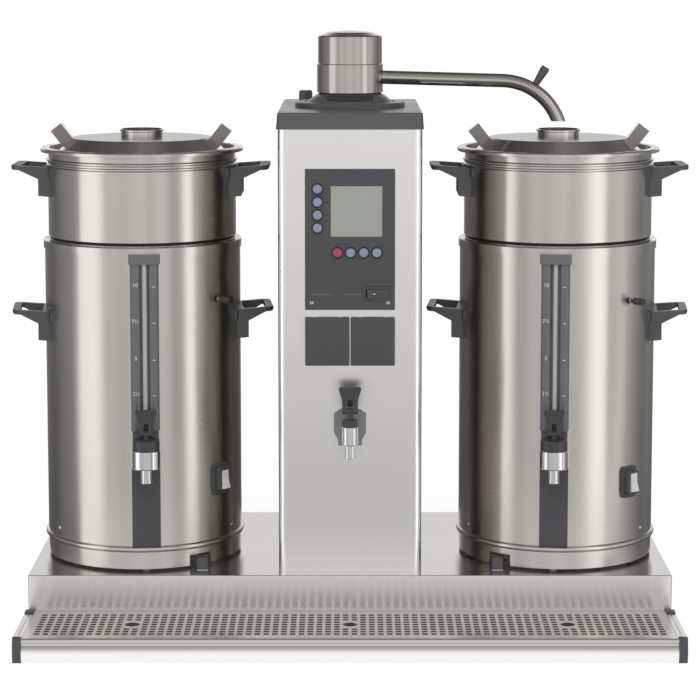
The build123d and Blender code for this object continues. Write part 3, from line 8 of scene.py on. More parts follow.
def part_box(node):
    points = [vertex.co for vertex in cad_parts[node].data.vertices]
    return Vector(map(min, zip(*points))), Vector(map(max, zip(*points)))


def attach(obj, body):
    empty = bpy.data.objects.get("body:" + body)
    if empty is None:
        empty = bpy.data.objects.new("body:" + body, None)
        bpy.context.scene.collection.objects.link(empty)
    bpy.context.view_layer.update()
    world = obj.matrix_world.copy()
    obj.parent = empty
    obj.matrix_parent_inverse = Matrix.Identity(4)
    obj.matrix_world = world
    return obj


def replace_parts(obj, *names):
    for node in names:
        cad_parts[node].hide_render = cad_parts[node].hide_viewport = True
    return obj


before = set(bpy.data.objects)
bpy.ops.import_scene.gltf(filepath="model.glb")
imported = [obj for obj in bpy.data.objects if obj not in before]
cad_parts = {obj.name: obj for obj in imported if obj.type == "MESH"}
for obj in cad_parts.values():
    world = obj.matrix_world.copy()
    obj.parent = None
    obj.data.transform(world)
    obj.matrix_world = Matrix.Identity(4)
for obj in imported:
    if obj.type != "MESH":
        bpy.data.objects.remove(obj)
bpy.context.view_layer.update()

# Camera. It stands in front of the middle of the machine, a little above its head, and looks slightly
# down. The small shift only keeps the machine in the middle of the square frame.
frame_pixels = 700
focal_pixels = 2384.24
camera_pitch = radians(6.580)
camera_data = bpy.data.cameras.new("front_camera")
camera_data.sensor_width = 36.0
camera_data.lens = camera_data.sensor_width * focal_pixels / frame_pixels
camera_data.shift_y = -0.15
camera_data.clip_end = 100.0
camera = bpy.data.objects.new("front_camera", camera_data)
camera.location = (0.0, -3.40, 0.930)
camera.rotation_euler = (pi / 2 - camera_pitch, 0.0, 0.0)
bpy.context.scene.collection.objects.link(camera)
bpy.context.scene.camera = camera
bpy.context.scene.view_settings.view_transform = "Standard"


# Light tent. The machine stands in a tent of cloth, pale straight ahead of it and darker at its sides,
# with a white backdrop. Where the eye looks past the machine it sees plain white.
def linear(code):
    """The linear colour of an sRGB hex code such as d9d6d0."""
    parts = [int(code[k:k + 2], 16) / 255 for k in (0, 2, 4)]
    return (*[c / 12.92 if c <= 0.04045 else ((c + 0.055) / 1.055) ** 2.4 for c in parts], 1.0)


def node(tree, kind, settings=None, links=None):
    """A new node with its settings, by socket or attribute name, and its links, by socket name."""
    made = tree.nodes.new("ShaderNode" + kind)
    for name, value in (settings or {}).items():
        if isinstance(name, int) or name in made.inputs:
            made.inputs[name].default_value = value
        else:
            setattr(made, name, value)
    for name, source in (links or {}).items():
        tree.links.new(source, made.inputs[name])
    return made


# Levels of the cloth by the angle from straight ahead, in degrees, and by the height of a direction,
# from -1 straight down to 1 straight up.
cloth_levels = (
    (-180, 0.30), (-150, 0.22), (-127, 0.18), (-112, 0.30), (-100, 0.38), (-87, 0.44), (-79, 0.48),
    (-60, 0.66), (-46, 0.74), (-36, 0.96), (-28, 1.00), (-20, 0.92), (-10, 1.00), (-5, 1.05), (5, 1.10),
    (11, 0.94), (18, 0.96), (26, 1.12), (34, 1.04), (41, 0.68), (50, 0.72), (62, 0.84), (73, 0.92),
    (82, 0.88), (92, 0.66), (104, 0.44), (117, 0.28), (134, 0.34), (150, 0.22), (180, 0.30))
height_levels = (
    (-1.0, 0.08), (-0.5, 0.20), (-0.25, 0.44), (-0.07, 1.0), (0.10, 1.0), (0.34, 0.66), (0.77, 0.42),
    (1.0, 0.32))
world = bpy.data.worlds.new("light_tent")
bpy.context.scene.world = world
world.use_nodes = True
tree = world.node_tree
tree.nodes.clear()
axes = node(tree, "SeparateXYZ", links={0: node(tree, "TexCoord").outputs["Generated"]})
ahead = node(tree, "Math", {"operation": "MULTIPLY", 1: -1.0}, {0: axes.outputs["Y"]})
angle = node(tree, "Math", {"operation": "ARCTAN2"}, {0: axes.outputs["X"], 1: ahead.outputs[0]})
turn_share = node(tree, "MapRange", {"From Min": -pi, "From Max": pi}, {"Value": angle.outputs[0]})
height_share = node(tree, "MapRange", {"From Min": -1.0, "From Max": 1.0}, {"Value": axes.outputs["Z"]})
cloth = node(tree, "ValToRGB", links={"Fac": turn_share.outputs[0]})
height = node(tree, "ValToRGB", links={"Fac": height_share.outputs[0]})
for greys, levels, lowest, highest in ((cloth, cloth_levels, -180, 180), (height, height_levels, -1, 1)):
    elements = greys.color_ramp.elements
    while len(elements) < len(levels):
        elements.new(0.5)
    for element, (place, level) in zip(elements, levels):
        element.position = (place - lowest) / (highest - lowest)
    for element, (place, level) in zip(elements, levels):
        element.color = (level, level, level, 1.0)
tent = node(tree, "Mix", {"data_type": "RGBA", "blend_type": "MULTIPLY", 0: 1.0},
            {6: cloth.outputs["Color"], 7: height.outputs["Color"]})
fade = {"interpolation_type": "SMOOTHSTEP"}
behind = node(tree, "MapRange", {**fade, "From Min": -0.80, "From Max": -0.92}, {"Value": ahead.outputs[0]})
above_floor = node(tree, "MapRange", {**fade, "From Min": -0.01, "From Max": 0.03},
                   {"Value": axes.outputs["Z"]})
backdrop = node(tree, "Math", {"operation": "MULTIPLY"}, {0: behind.outputs[0], 1: above_floor.outputs[0]})
around = node(tree, "Mix", {"data_type": "RGBA", 7: linear("ffffff")},
              {0: backdrop.outputs[0], 6: tent.outputs[2]})
tent_light = node(tree, "Background", {"Strength": 1.0}, {"Color": around.outputs[2]})
white_light = node(tree, "Background", {"Strength": 1.0, "Color": linear("ffffff")})
path = node(tree, "LightPath")
seen = node(tree, "Math", {"operation": "MAXIMUM"},
            {0: path.outputs["Is Camera Ray"], 1: path.outputs["Is Transmission Ray"]})
chosen = node(tree, "MixShader",
              links={0: seen.outputs[0], 1: tent_light.outputs[0], 2: white_light.outputs[0]})
node(tree, "OutputWorld", links={"Surface": chosen.outputs[0]})

# Paper floor. White paper lies under the machine and keeps a faint shadow of it. The metal mirrors only
# the strip of paper close in front of the machine, which fades out towards the front.
paper_half = 3.0
strip_back = -0.245
strip_front = (-0.43, -0.49)
shadow_reach = (0.6, 1.3)
shape = bmesh.new()
bmesh.ops.create_grid(shape, x_segments=2, y_segments=2, size=paper_half)
floor_mesh = bpy.data.meshes.new("paper_floor")
shape.to_mesh(floor_mesh)
shape.free()
floor = bpy.data.objects.new("paper_floor", floor_mesh)
bpy.context.scene.collection.objects.link(floor)
paper = bpy.data.materials.new("white_paper")
paper.use_nodes = True
tree = paper.node_tree
tree.nodes.clear()
place = node(tree, "TexCoord")
away = node(tree, "VectorMath", {"operation": "LENGTH"}, {0: place.outputs["Object"]})
far = node(tree, "MapRange", {**fade, "From Min": shadow_reach[0], "From Max": shadow_reach[1]},
           {"Value": away.outputs["Value"]})
lit_paper = node(tree, "BsdfDiffuse", {"Color": linear("7c7c7c")})
glow = node(tree, "Emission", {"Strength": 0.90})
near_paper = node(tree, "AddShader", links={0: lit_paper.outputs[0], 1: glow.outputs[0]})
far_paper = node(tree, "Emission", {"Strength": 1.0})
white_paper = node(tree, "MixShader",
                   links={0: far.outputs[0], 1: near_paper.outputs[0], 2: far_paper.outputs[0]})
plain_paper = node(tree, "BsdfDiffuse", {"Color": linear("e7e7e7")})
path = node(tree, "LightPath")
seen = node(tree, "Math", {"operation": "MAXIMUM"},
            {0: path.outputs["Is Camera Ray"], 1: path.outputs["Is Transmission Ray"]})
looked_at = node(tree, "MixShader",
                 links={0: seen.outputs[0], 1: plain_paper.outputs[0], 2: white_paper.outputs[0]})
mirrored = node(tree, "MixShader",
                links={0: path.outputs["Is Glossy Ray"], 1: looked_at.outputs[0], 2: far_paper.outputs[0]})
along_y = node(tree, "SeparateXYZ", links={0: place.outputs["Object"]}).outputs["Y"]
before_strip = node(tree, "MapRange", {**fade, "From Min": strip_front[0], "From Max": strip_front[1]},
                    {"Value": along_y})
under_machine = node(tree, "Math", {"operation": "GREATER_THAN", 1: strip_back}, {0: along_y})
off_strip = node(tree, "Math", {"operation": "MAXIMUM"},
                 {0: before_strip.outputs[0], 1: under_machine.outputs[0]})
hidden = node(tree, "Math", {"operation": "MULTIPLY"},
              {0: off_strip.outputs[0], 1: path.outputs["Is Glossy Ray"]})
nothing = node(tree, "BsdfTransparent")
chosen = node(tree, "MixShader", links={0: hidden.outputs[0], 1: mirrored.outputs[0], 2: nothing.outputs[0]})
node(tree, "OutputMaterial", links={"Surface": chosen.outputs[0]})
floor_mesh.materials.append(paper)

# Soft panels. Two tall panels of white cloth stand at the left and at the front right. Only the metal
# mirrors them, as its bright bands, and their edges fade out: fade_in and fade_out are shares of a panel.
panel_height = 2.2
panel_middle = 0.5
for name, start, end, fade_in, fade_out, level in (
        ("left_panel", Vector((-1.320, -1.360, 0.0)), Vector((-1.343, -0.270, 0.0)), 0.54, 0.04, 1.30),
        ("right_panel", Vector((0.660, -0.853, 0.0)), Vector((1.317, -0.643, 0.0)), 0.45, 0.25, 1.40)):
    along = end - start
    out = Vector((along.y, -along.x, 0.0)).normalized()
    middle = (start + end) / 2
    shape = bmesh.new()
    bmesh.ops.create_grid(shape, x_segments=1, y_segments=1, size=0.5, matrix=Matrix((
        (along.x, 0.0, out.x, middle.x), (along.y, 0.0, out.y, middle.y),
        (0.0, panel_height, 0.0, panel_middle), (0.0, 0.0, 0.0, 1.0))))
    panel_mesh = bpy.data.meshes.new(name)
    shape.to_mesh(panel_mesh)
    shape.free()
    panel = bpy.data.objects.new(name, panel_mesh)
    bpy.context.scene.collection.objects.link(panel)
    panel.visible_camera = False
    panel.visible_diffuse = False
    panel.visible_transmission = False
    panel.visible_shadow = False
    panel_cloth = bpy.data.materials.new("white_cloth_" + name)
    panel_cloth.use_nodes = True
    tree = panel_cloth.node_tree
    tree.nodes.clear()
    place = node(tree, "TexCoord")
    from_start = node(tree, "VectorMath", {"operation": "SUBTRACT", 1: start}, {0: place.outputs["Object"]})
    share = node(tree, "VectorMath", {"operation": "DOT_PRODUCT", 1: along / along.length_squared},
                 {0: from_start.outputs[0]})
    rising = node(tree, "MapRange", {**fade, "From Min": 0.0, "From Max": fade_in},
                  {"Value": share.outputs["Value"]})
    falling = node(tree, "MapRange", {**fade, "From Min": 1.0, "From Max": 1.0 - fade_out},
                   {"Value": share.outputs["Value"]})
    soft_edges = node(tree, "Math", {"operation": "MULTIPLY"}, {0: rising.outputs[0], 1: falling.outputs[0]})
    bright_cloth = node(tree, "Emission", {"Strength": level})
    open_air = node(tree, "BsdfTransparent")
    chosen = node(tree, "MixShader",
                  links={0: soft_edges.outputs[0], 1: open_air.outputs[0], 2: bright_cloth.outputs[0]})
    node(tree, "OutputMaterial", links={"Surface": chosen.outputs[0]})
    panel_mesh.materials.append(panel_cloth)

# Lamps. Two large softboxes, one high in front and one overhead, light everything evenly. The steel does
# not mirror them.
aimed_at = Vector((0.0, 0.0, 0.35))
for name, width, tall, place, level in (
        ("front_softbox", 2.2, 1.2, Vector((0.0, -2.2, 2.4)), 4.0),
        ("top_softbox", 1.6, 1.6, Vector((0.0, 0.6, 2.8)), 1.2)):
    lamp_data = bpy.data.lights.new(name, "AREA")
    lamp_data.shape = "RECTANGLE"
    lamp_data.size = width
    lamp_data.size_y = tall
    lamp_data.energy = level * pi * width * tall
    lamp = bpy.data.objects.new(name, lamp_data)
    lamp.location = place
    lamp.rotation_euler = (aimed_at - place).to_track_quat("-Z", "Y").to_euler()
    lamp.visible_camera = False
    lamp.visible_glossy = False
    bpy.context.scene.collection.objects.link(lamp)


# Platform. It is folded from ground stainless sheet, AISI 304, with the grain along its length, and it
# stands on six screwed feet with rubber soles. The two locating lugs on it are coloured dark grey.
def dress(names, material):
    """Gives the CAD nodes of these names that material."""
    for name in names:
        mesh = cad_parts[name].data
        mesh.materials.clear()
        mesh.materials.append(material)


def surface(name, settings):
    """A material of that name with one Principled shader; returns material, tree and shader."""
    made = bpy.data.materials.new(name)
    made.use_nodes = True
    made.node_tree.nodes.clear()
    shader = node(made.node_tree, "BsdfPrincipled", settings)
    node(made.node_tree, "OutputMaterial", links={"Surface": shader.outputs[0]})
    return made, made.node_tree, shader


def ground_steel(name, colour, roughness, streak, grain=None, settings=None, contrast=0.05, ripple=0.012):
    """Stainless ground with a belt. streak is the size of its streaks along X, Y and Z in millimetres.
    Reflections spread across the scratches: grain is the direction of these on a flat sheet, and it is
    None on a round wall, where they run round the wall and reflections spread upright."""
    made, tree, shader = surface(name, {"Metallic": 1.0, "Anisotropic": 0.85, **(settings or {})})
    place = node(tree, "TexCoord")
    drawn_out = node(tree, "Mapping", {"Scale": [1000 / s for s in streak]},
                     {"Vector": place.outputs["Object"]})
    streaks = node(tree, "TexNoise", {"Scale": 1.0, "Detail": 3.0, "Roughness": 0.6},
                   {"Vector": drawn_out.outputs[0]})
    clouds = node(tree, "TexNoise", {"Scale": 9.0, "Detail": 2.0}, {"Vector": place.outputs["Object"]})
    soft = node(tree, "Math", {"operation": "MULTIPLY", 1: 0.4}, {0: clouds.outputs["Fac"]})
    wear = node(tree, "Math", {"operation": "MULTIPLY_ADD", 1: 0.6},
                {0: streaks.outputs["Fac"], 2: soft.outputs[0]})
    dull = node(tree, "MapRange", {"From Min": 0.3, "From Max": 0.7, "To Min": roughness - 0.015,
                                   "To Max": roughness + 0.015}, {"Value": wear.outputs[0]})
    tree.links.new(dull.outputs[0], shader.inputs["Roughness"])
    light = linear(colour)
    deep = (*[c * (1 - contrast) for c in light[:3]], 1.0)
    tint = node(tree, "Mix", {"data_type": "RGBA", 6: deep, 7: light}, {0: wear.outputs[0]})
    tree.links.new(tint.outputs[2], shader.inputs["Base Color"])
    scratches = node(tree, "Bump", {"Strength": ripple, "Distance": 0.00002},
                     {"Height": streaks.outputs["Fac"]})
    tree.links.new(scratches.outputs[0], shader.inputs["Normal"])
    if grain:
        facing = node(tree, "NewGeometry")
        spread = node(tree, "VectorMath", {"operation": "CROSS_PRODUCT", 1: grain},
                      {0: facing.outputs["Normal"]})
    else:
        spread = node(tree, "CombineXYZ", {2: 1.0})
    tree.links.new(spread.outputs[0], shader.inputs["Tangent"])
    return made


# A grain lies slightly oblique, so that no face of the sheet is square to it.
grain_along = (1.0, 0.05, 0.0)
grain_upright = (0.0, 0.05, 1.0)
# Belt-ground 304 has a satin shine that smears across its grain. Its streaks are drawn 2 mm apart: the
# real belt marks are 0.1 mm apart and would not show.
platform_steel = ground_steel("stainless_platform_belt_ground", "e6e3e0", 0.22, (160, 2, 2), grain_along)


def coordinates(material):
    """The material's node tree, and the sockets X, Y and Z that give a point's place on the machine."""
    tree = material.node_tree
    return tree, node(tree, "SeparateXYZ", links={0: node(tree, "TexCoord").outputs["Object"]}).outputs


def masked(material, mask, colour, roughness, metallic=None):
    """Gives the material another colour, roughness and metallic where the mask, a node, is 1."""
    tree = material.node_tree
    shader = next(n for n in tree.nodes if n.type == "BSDF_PRINCIPLED")
    for name, value in (("Base Color", linear(colour)), ("Roughness", roughness), ("Metallic", metallic)):
        if value is None:
            continue
        entry = shader.inputs[name]
        kind, plain, other, result = ("RGBA", 6, 7, 2) if name == "Base Color" else ("FLOAT", 2, 3, 0)
        mixed = node(tree, "Mix", {"data_type": kind, other: value}, {0: mask.outputs[0]})
        if entry.links:
            tree.links.new(entry.links[0].from_socket, mixed.inputs[plain])
        else:
            mixed.inputs[plain].default_value = entry.default_value
        tree.links.new(mixed.outputs[result], entry)


# All that stands above the platform's top, the two locating lugs, is coloured dark grey, dull
# and not metallic.
platform_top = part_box("container_shell_left")[0].z
tree, place = coordinates(platform_steel)
sleeves = node(tree, "Math", {"operation": "GREATER_THAN", 1: platform_top + 0.0005}, {0: place["Z"]})
masked(platform_steel, sleeves, "565658", 0.45, 0.0)
dress(["base_platform"], platform_steel)


def moulded(name, colour, roughness, grain, depth):
    """A moulded plastic or rubber with a fine eroded grain: grain is its size in millimetres."""
    made, tree, shader = surface(name, {"Specular IOR Level": 0.5, "IOR": 1.5})
    place = node(tree, "TexCoord")
    pores = node(tree, "TexNoise", {"Scale": 1000 / grain, "Detail": 2.0},
                 {"Vector": place.outputs["Object"]})
    clouds = node(tree, "TexNoise", {"Scale": 14.0, "Detail": 2.0}, {"Vector": place.outputs["Object"]})
    dull = node(tree, "MapRange", {"From Min": 0.3, "From Max": 0.7, "To Min": roughness - 0.04,
                                   "To Max": roughness + 0.05}, {"Value": clouds.outputs["Fac"]})
    tree.links.new(dull.outputs[0], shader.inputs["Roughness"])
    light = linear(colour)
    deep = (*[c * 0.94 for c in light[:3]], 1.0)
    tint = node(tree, "Mix", {"data_type": "RGBA", 6: deep, 7: light}, {0: clouds.outputs["Fac"]})
    tree.links.new(tint.outputs[2], shader.inputs["Base Color"])
    relief = node(tree, "Bump", {"Strength": 0.5, "Distance": depth}, {"Height": pores.outputs["Fac"]})
    tree.links.new(relief.outputs[0], shader.inputs["Normal"])
    return made


# Nitrile rubber, moulded, is nearly black and dull.
foot_rubber = moulded("nitrile_rubber_moulded", "262626", 0.65, 0.8, 0.00004)
dress(["levelling_feet"], foot_rubber)

# Drip tray. It is folded from the same sheet and slides out to the front. Its rounded front is painted
# brighter as a painted highlight, and painted darker towards the upper bend as painted shade. Its four
# corners wear moulded polyamide caps.
sheet_steel = ground_steel("stainless_sheet_belt_ground", "dcd9d5", 0.22, (160, 2, 2), grain_along,
                           {"Anisotropic": 0.6})
# The front is painted brighter, a painted highlight, and its upper part darker, a painted shade.
polished_to = -0.2625
tree, place = coordinates(sheet_steel)
front = node(tree, "Math", {"operation": "LESS_THAN", 1: polished_to}, {0: place["Y"]})
masked(sheet_steel, front, "f8f7f5", 0.20)
upper = node(tree, "MapRange", {**fade, "From Min": 0.010, "From Max": 0.027}, {"Value": place["Z"]})
upper_front = node(tree, "Math", {"operation": "MULTIPLY"}, {0: upper.outputs[0], 1: front.outputs[0]})
masked(sheet_steel, upper_front, "c2bfbb", 0.20)
dress(["drip_tray"], sheet_steel)
# Polyamide, moulded with an eroded grain, is dark grey with a broad soft sheen.
polyamide = moulded("polyamide_moulded_grained", "505052", 0.42, 0.9, 0.00003)


def piece(name, shape, material, body, smooth=35):
    """Makes an object of a bmesh, with that material, riding on that body."""
    mesh = bpy.data.meshes.new(name)
    shape.to_mesh(mesh)
    shape.free()
    mesh.materials.append(material)
    made = bpy.data.objects.new(name, mesh)
    bpy.context.scene.collection.objects.link(made)
    if smooth:
        for polygon in mesh.polygons:
            polygon.use_smooth = True
        mesh.set_sharp_from_angle(angle=radians(smooth))
    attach(made, body)
    return made


# The two rear caps end just above the tray's rim: the part above that is cut off and closed again.
rear_from = -0.2
cap_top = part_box("drip_tray")[1].z + 0.0022
caps = bmesh.new()
caps.from_mesh(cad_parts["tray_corner_caps"].data)
bmesh.ops.remove_doubles(caps, verts=caps.verts[:], dist=0.000001)
at_rear = [v for v in caps.verts if v.co.y > rear_from]
at_rear += [part for part in caps.edges[:] + caps.faces[:] if part.verts[0].co.y > rear_from]
bmesh.ops.bisect_plane(caps, geom=at_rear, dist=0.000001, plane_co=(0, 0, cap_top), plane_no=(0, 0, 1),
                       clear_outer=True)
bmesh.ops.holes_fill(caps, edges=[e for e in caps.edges if e.is_boundary], sides=0)
bmesh.ops.recalc_face_normals(caps, faces=caps.faces[:])
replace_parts(piece("tray_caps_low", caps, polyamide, "tray"), "tray_corner_caps")

# Drip grid. It is one stainless sheet that lies loose in the tray, punched with square holes 12 mm apart
# and with three round holes for a finger to lift it by.
hole_pitch = 0.0120
hole_rows = 9
hole_columns = 72
half_web = 0.0022
finger_radius = 0.010
finger_places = (-25 * hole_pitch, 0.0, 25 * hole_pitch)
grid_sheet = 0.0015
grid_low, grid_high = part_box("drip_grid")
punched_x = hole_columns * hole_pitch / 2
punched_y = hole_rows * hole_pitch / 2
shape = bmesh.new()
bmesh.ops.create_grid(shape, x_segments=hole_columns, y_segments=hole_rows, size=0.5,
                      matrix=Matrix.Diagonal((2 * punched_x, 2 * punched_y, 1.0, 1.0)))
for x in finger_places:
    near = [f for f in shape.faces if abs(f.calc_center_median().x - x) < hole_pitch
            and abs(f.calc_center_median().y) < 1.5 * hole_pitch]
    bmesh.ops.delete(shape, geom=near, context="FACES")
holes = shape.faces[:]
bmesh.ops.inset_individual(shape, faces=holes, thickness=half_web, use_even_offset=True)
bmesh.ops.delete(shape, geom=holes, context="FACES_ONLY")
for x in finger_places:
    ring = bmesh.ops.create_circle(shape, segments=24, radius=finger_radius,
                                   matrix=Matrix.Translation((x, 0.0, 0.0)))["verts"]
    square = [e for e in shape.edges if e.is_boundary and all(
        abs(v.co.x - x) < 1.01 * hole_pitch and abs(v.co.y) < 1.51 * hole_pitch and
        (abs(v.co.x - x) > 0.99 * hole_pitch or abs(v.co.y) > 1.49 * hole_pitch) for v in e.verts)]
    round_edges = list({e for v in ring for e in v.link_edges})
    bmesh.ops.bridge_loops(shape, edges=square + round_edges)
# The plain margin is drawn out from the punched field to the size of the tray's ledge.
outer = [e for e in shape.edges if e.is_boundary and (
    all(abs(abs(v.co.x) - punched_x) < 0.0001 for v in e.verts) or
    all(abs(abs(v.co.y) - punched_y) < 0.0001 for v in e.verts))]
grown = bmesh.ops.extrude_edge_only(shape, edges=outer)["geom"]
half_size = (grid_high - grid_low) / 2
for v in [part for part in grown if isinstance(part, bmesh.types.BMVert)]:
    if abs(abs(v.co.x) - punched_x) < 0.0001:
        v.co.x = half_size.x if v.co.x > 0 else -half_size.x
    if abs(abs(v.co.y) - punched_y) < 0.0001:
        v.co.y = half_size.y if v.co.y > 0 else -half_size.y
bmesh.ops.remove_doubles(shape, verts=shape.verts[:], dist=0.00001)
bmesh.ops.recalc_face_normals(shape, faces=shape.faces[:])
if sum(f.normal.z for f in shape.faces) < 0:
    bmesh.ops.reverse_faces(shape, faces=shape.faces[:])
bmesh.ops.solidify(shape, geom=shape.faces[:], thickness=grid_sheet)
grid_middle = (grid_low + grid_high) / 2
to_top = grid_high.z - max(v.co.z for v in shape.verts)
bmesh.ops.translate(shape, verts=shape.verts[:], vec=Vector((grid_middle.x, grid_middle.y, to_top)))
# Punched sheet is left as it was rolled, paler and duller than the ground sheet.
grid_steel = ground_steel("stainless_punched_sheet", "e4e1dd", 0.28, (120, 2, 2), grain_along,
                          {"Anisotropic": 0.4})
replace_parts(piece("punched_grid", shape, grid_steel, "grid", smooth=0), "drip_grid")

# Column. The housing is folded from finely ground sheet with the grain upright, and its top cover with
# the turret for the arm is a polyamide moulding. The boiler with its heating element stands inside.
column_steel = ground_steel("stainless_column_sheet", "eae8e5", 0.30, (2, 2, 160), grain_upright,
                            {"Anisotropic": 0.4}, contrast=0.02, ripple=0.008)
# The two bends beside the front carry a painted highlight, white and smoother, and the side walls are
# painted darker, as painted shade.
column_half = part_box("column_housing")[1].x
tree, place = coordinates(column_steel)
sideways = node(tree, "Math", {"operation": "ABSOLUTE"}, {0: place["X"]})
bend = node(tree, "MapRange", {**fade, "From Min": column_half - 0.012, "From Max": column_half - 0.006},
            {"Value": sideways.outputs[0]})
facing = node(tree, "SeparateXYZ", links={0: node(tree, "NewGeometry").outputs["Normal"]})
to_front = node(tree, "Math", {"operation": "LESS_THAN", 1: -0.5}, {0: facing.outputs["Y"]})
front_bend = node(tree, "Math", {"operation": "MULTIPLY"}, {0: bend.outputs[0], 1: to_front.outputs[0]})
masked(column_steel, front_bend, "ffffff", 0.20)
at_side = node(tree, "Math", {"operation": "GREATER_THAN", 1: column_half - 0.0015},
               {0: sideways.outputs[0]})
masked(column_steel, at_side, "c4c1bd", 0.24)
dress(["column_housing"], column_steel)
# The cover is polyamide from a smoother mould, so it is satin.
cover_polyamide = moulded("polyamide_cover_satin", "545456", 0.30, 0.8, 0.00002)
dress(["column_cap", "descaling_plug", "cable_gland"], cover_polyamide)
# The boiler is deep-drawn and pickled, which leaves it matt.
boiler_steel = ground_steel("stainless_boiler_drawn", "b9b6b1", 0.38, (2, 2, 60))
dress(["boiler", "heating_element"], boiler_steel)
# The water union is turned brass: yellow, with the fine rings that the tool leaves.
brass, tree, shader = surface("brass_turned", {
    "Metallic": 1.0, "Roughness": 0.28, "Base Color": linear("c9a65a")})
turning = node(tree, "TexWave", {"Scale": 160.0, "bands_direction": "Y", "Distortion": 0.6},
               {"Vector": node(tree, "TexCoord").outputs["Object"]})
rings = node(tree, "Bump", {"Strength": 0.3, "Distance": 0.00003}, {"Height": turning.outputs["Fac"]})
tree.links.new(rings.outputs[0], shader.inputs["Normal"])
dress(["water_inlet"], brass)

# Arm. The head is turned stainless, the tube is drawn, bent and brazed into it, and a moulded knob is
# pressed on the bend. Both are polished, and the tube shines more.
turned_steel = ground_steel("stainless_turned_polished", "b8b4af", 0.17, (90, 90, 2),
                            settings={"Anisotropic": 0.8})
tube_from = 0.052
tree, place = coordinates(turned_steel)
on_tube = node(tree, "Math", {"operation": "GREATER_THAN", 1: tube_from}, {0: place["X"]})
masked(turned_steel, on_tube, "b2aea9", 0.12)
dress(["swivel_arm"], turned_steel)
dress(["arm_knob"], polyamide)

# Control panel and sockets. The panel is an ABS moulding, dull and dark with a finer grain than the
# polyamide, and so are the mains switch's rocker and the block with the two sockets and their flaps.
panel_abs = moulded("abs_panel_fine_grain", "4b4b4d", 0.45, 0.6, 0.00002)
dress(["control_panel", "mains_rocker", "socket_block", "socket_flap_left", "socket_flap_right"], panel_abs)
# The display is a grey-green field under a clear polycarbonate window with a thin gloss.
window, tree, shader = surface("polycarbonate_window", {
    "Roughness": 0.25, "IOR": 1.58, "Coat Weight": 0.6, "Coat Roughness": 0.08})
cells = node(tree, "TexNoise", {"Scale": 900.0, "Detail": 1.0},
             {"Vector": node(tree, "TexCoord").outputs["Object"]})
tint = node(tree, "Mix", {"data_type": "RGBA", 6: linear("949890"), 7: linear("a3a79f")},
            {0: cells.outputs["Fac"]})
tree.links.new(tint.outputs[2], shader.inputs["Base Color"])
dress(["display_window"], window)

# Buttons. Eight round polycarbonate buttons, dyed through and satin, stand in turned rings of gloss black
# ABS that are pressed into the panel. The stop button is red and the others are grey-blue.
button_blue = moulded("polycarbonate_button_blue", "8d94ad", 0.30, 0.7, 0.00002)
dress(["menu_button_%d" % k for k in (1, 2, 3, 4)] + ["brew_button_%d" % k for k in (1, 2, 3)], button_blue)
button_red = moulded("polycarbonate_button_red", "b0425e", 0.30, 0.7, 0.00002)
dress(["stop_button"], button_red)
bezel_black = moulded("abs_bezel_black_gloss", "232426", 0.22, 0.7, 0.00001)
panel_rim = 0.001
panel_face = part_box("control_panel")[0].y + panel_rim
facing_front = Matrix.Rotation(pi / 2, 4, "X")
# The middles of the buttons in X and Z: the menu buttons stand one below the other, the others in a row.
button_places = [(-0.045, 0.630 - 0.018 * k) for k in range(4)] + [
    (x, 0.5417) for x in (-0.0174, 0.0008, 0.0190, 0.0372)]


def turned(profile, turns=48):
    """A ring turned round the Z axis from a profile of (radius, height), or a disc where it starts at 0."""
    shape = bmesh.new()
    points = [shape.verts.new((radius, 0.0, level)) for radius, level in profile]
    line = [shape.edges.new(pair) for pair in zip(points, points[1:])]
    if profile[0][0] > 0:
        line.append(shape.edges.new((points[-1], points[0])))
    bmesh.ops.spin(shape, geom=points + line, axis=(0, 0, 1), cent=(0, 0, 0), angle=2 * pi, steps=turns,
                   use_merge=True)
    bmesh.ops.remove_doubles(shape, verts=shape.verts[:], dist=0.000001)
    bmesh.ops.recalc_face_normals(shape, faces=shape.faces[:])
    return shape


def joined(shapes):
    """One bmesh of several."""
    whole = bmesh.new()
    for shape in shapes:
        part = bpy.data.meshes.new("part")
        shape.to_mesh(part)
        shape.free()
        whole.from_mesh(part)
        bpy.data.meshes.remove(part)
    return whole


ring_profile = ((0.0071, -0.0006), (0.0071, 0.0003), (0.0074, 0.0006), (0.0080, 0.0006), (0.0083, -0.0006))
rings = []
for x, z in button_places:
    ring = turned(ring_profile)
    bmesh.ops.transform(ring, verts=ring.verts[:], matrix=Matrix.Translation(
        (x, panel_face - 0.0010, z)) @ facing_front)
    rings.append(ring)
piece("button_rings", joined(rings), bezel_black, "stand")

# Mains switch. Its rocker tips in a narrow black frame that is clipped into the panel, and a white dot on
# the rocker, screen-printed and matt, marks the side that is on.
switch_x = 0.0382
switch_z = 0.4846
frame_x = 0.0186
frame_z = 0.0097
frame_line = 0.0012
frame_bars = []
for x, z, width, tall in ((0.0, frame_z, 0.0385, frame_line), (0.0, -frame_z, 0.0385, frame_line),
                          (-frame_x, 0.0, frame_line, 0.0206), (frame_x, 0.0, frame_line, 0.0206)):
    bar = bmesh.new()
    bmesh.ops.create_cube(bar, size=1.0, matrix=Matrix.Translation(
        (switch_x + x, panel_face - 0.0002, switch_z + z)) @ Matrix.Diagonal((width, frame_line, tall, 1.0)))
    bmesh.ops.bevel(bar, geom=bar.edges[:], offset=0.0002, offset_type="OFFSET", segments=1, profile=0.5,
                    affect="EDGES", material=-1)
    frame_bars.append(bar)
piece("switch_frame", joined(frame_bars), bezel_black, "stand")
print_white = moulded("screen_print_white", "e2e2e0", 0.40, 0.7, 0.00001)
dot = turned(((0.0, 0.0003), (0.0010, 0.00025), (0.0012, -0.0002), (0.0, -0.0002)), turns=20)
dot_place = (0.0335, -0.13225, switch_z)
rocker_turn = radians(8)
bmesh.ops.transform(dot, verts=dot.verts[:], matrix=Matrix.Translation(
    dot_place) @ Matrix.Rotation(rocker_turn, 4, "Z") @ facing_front)
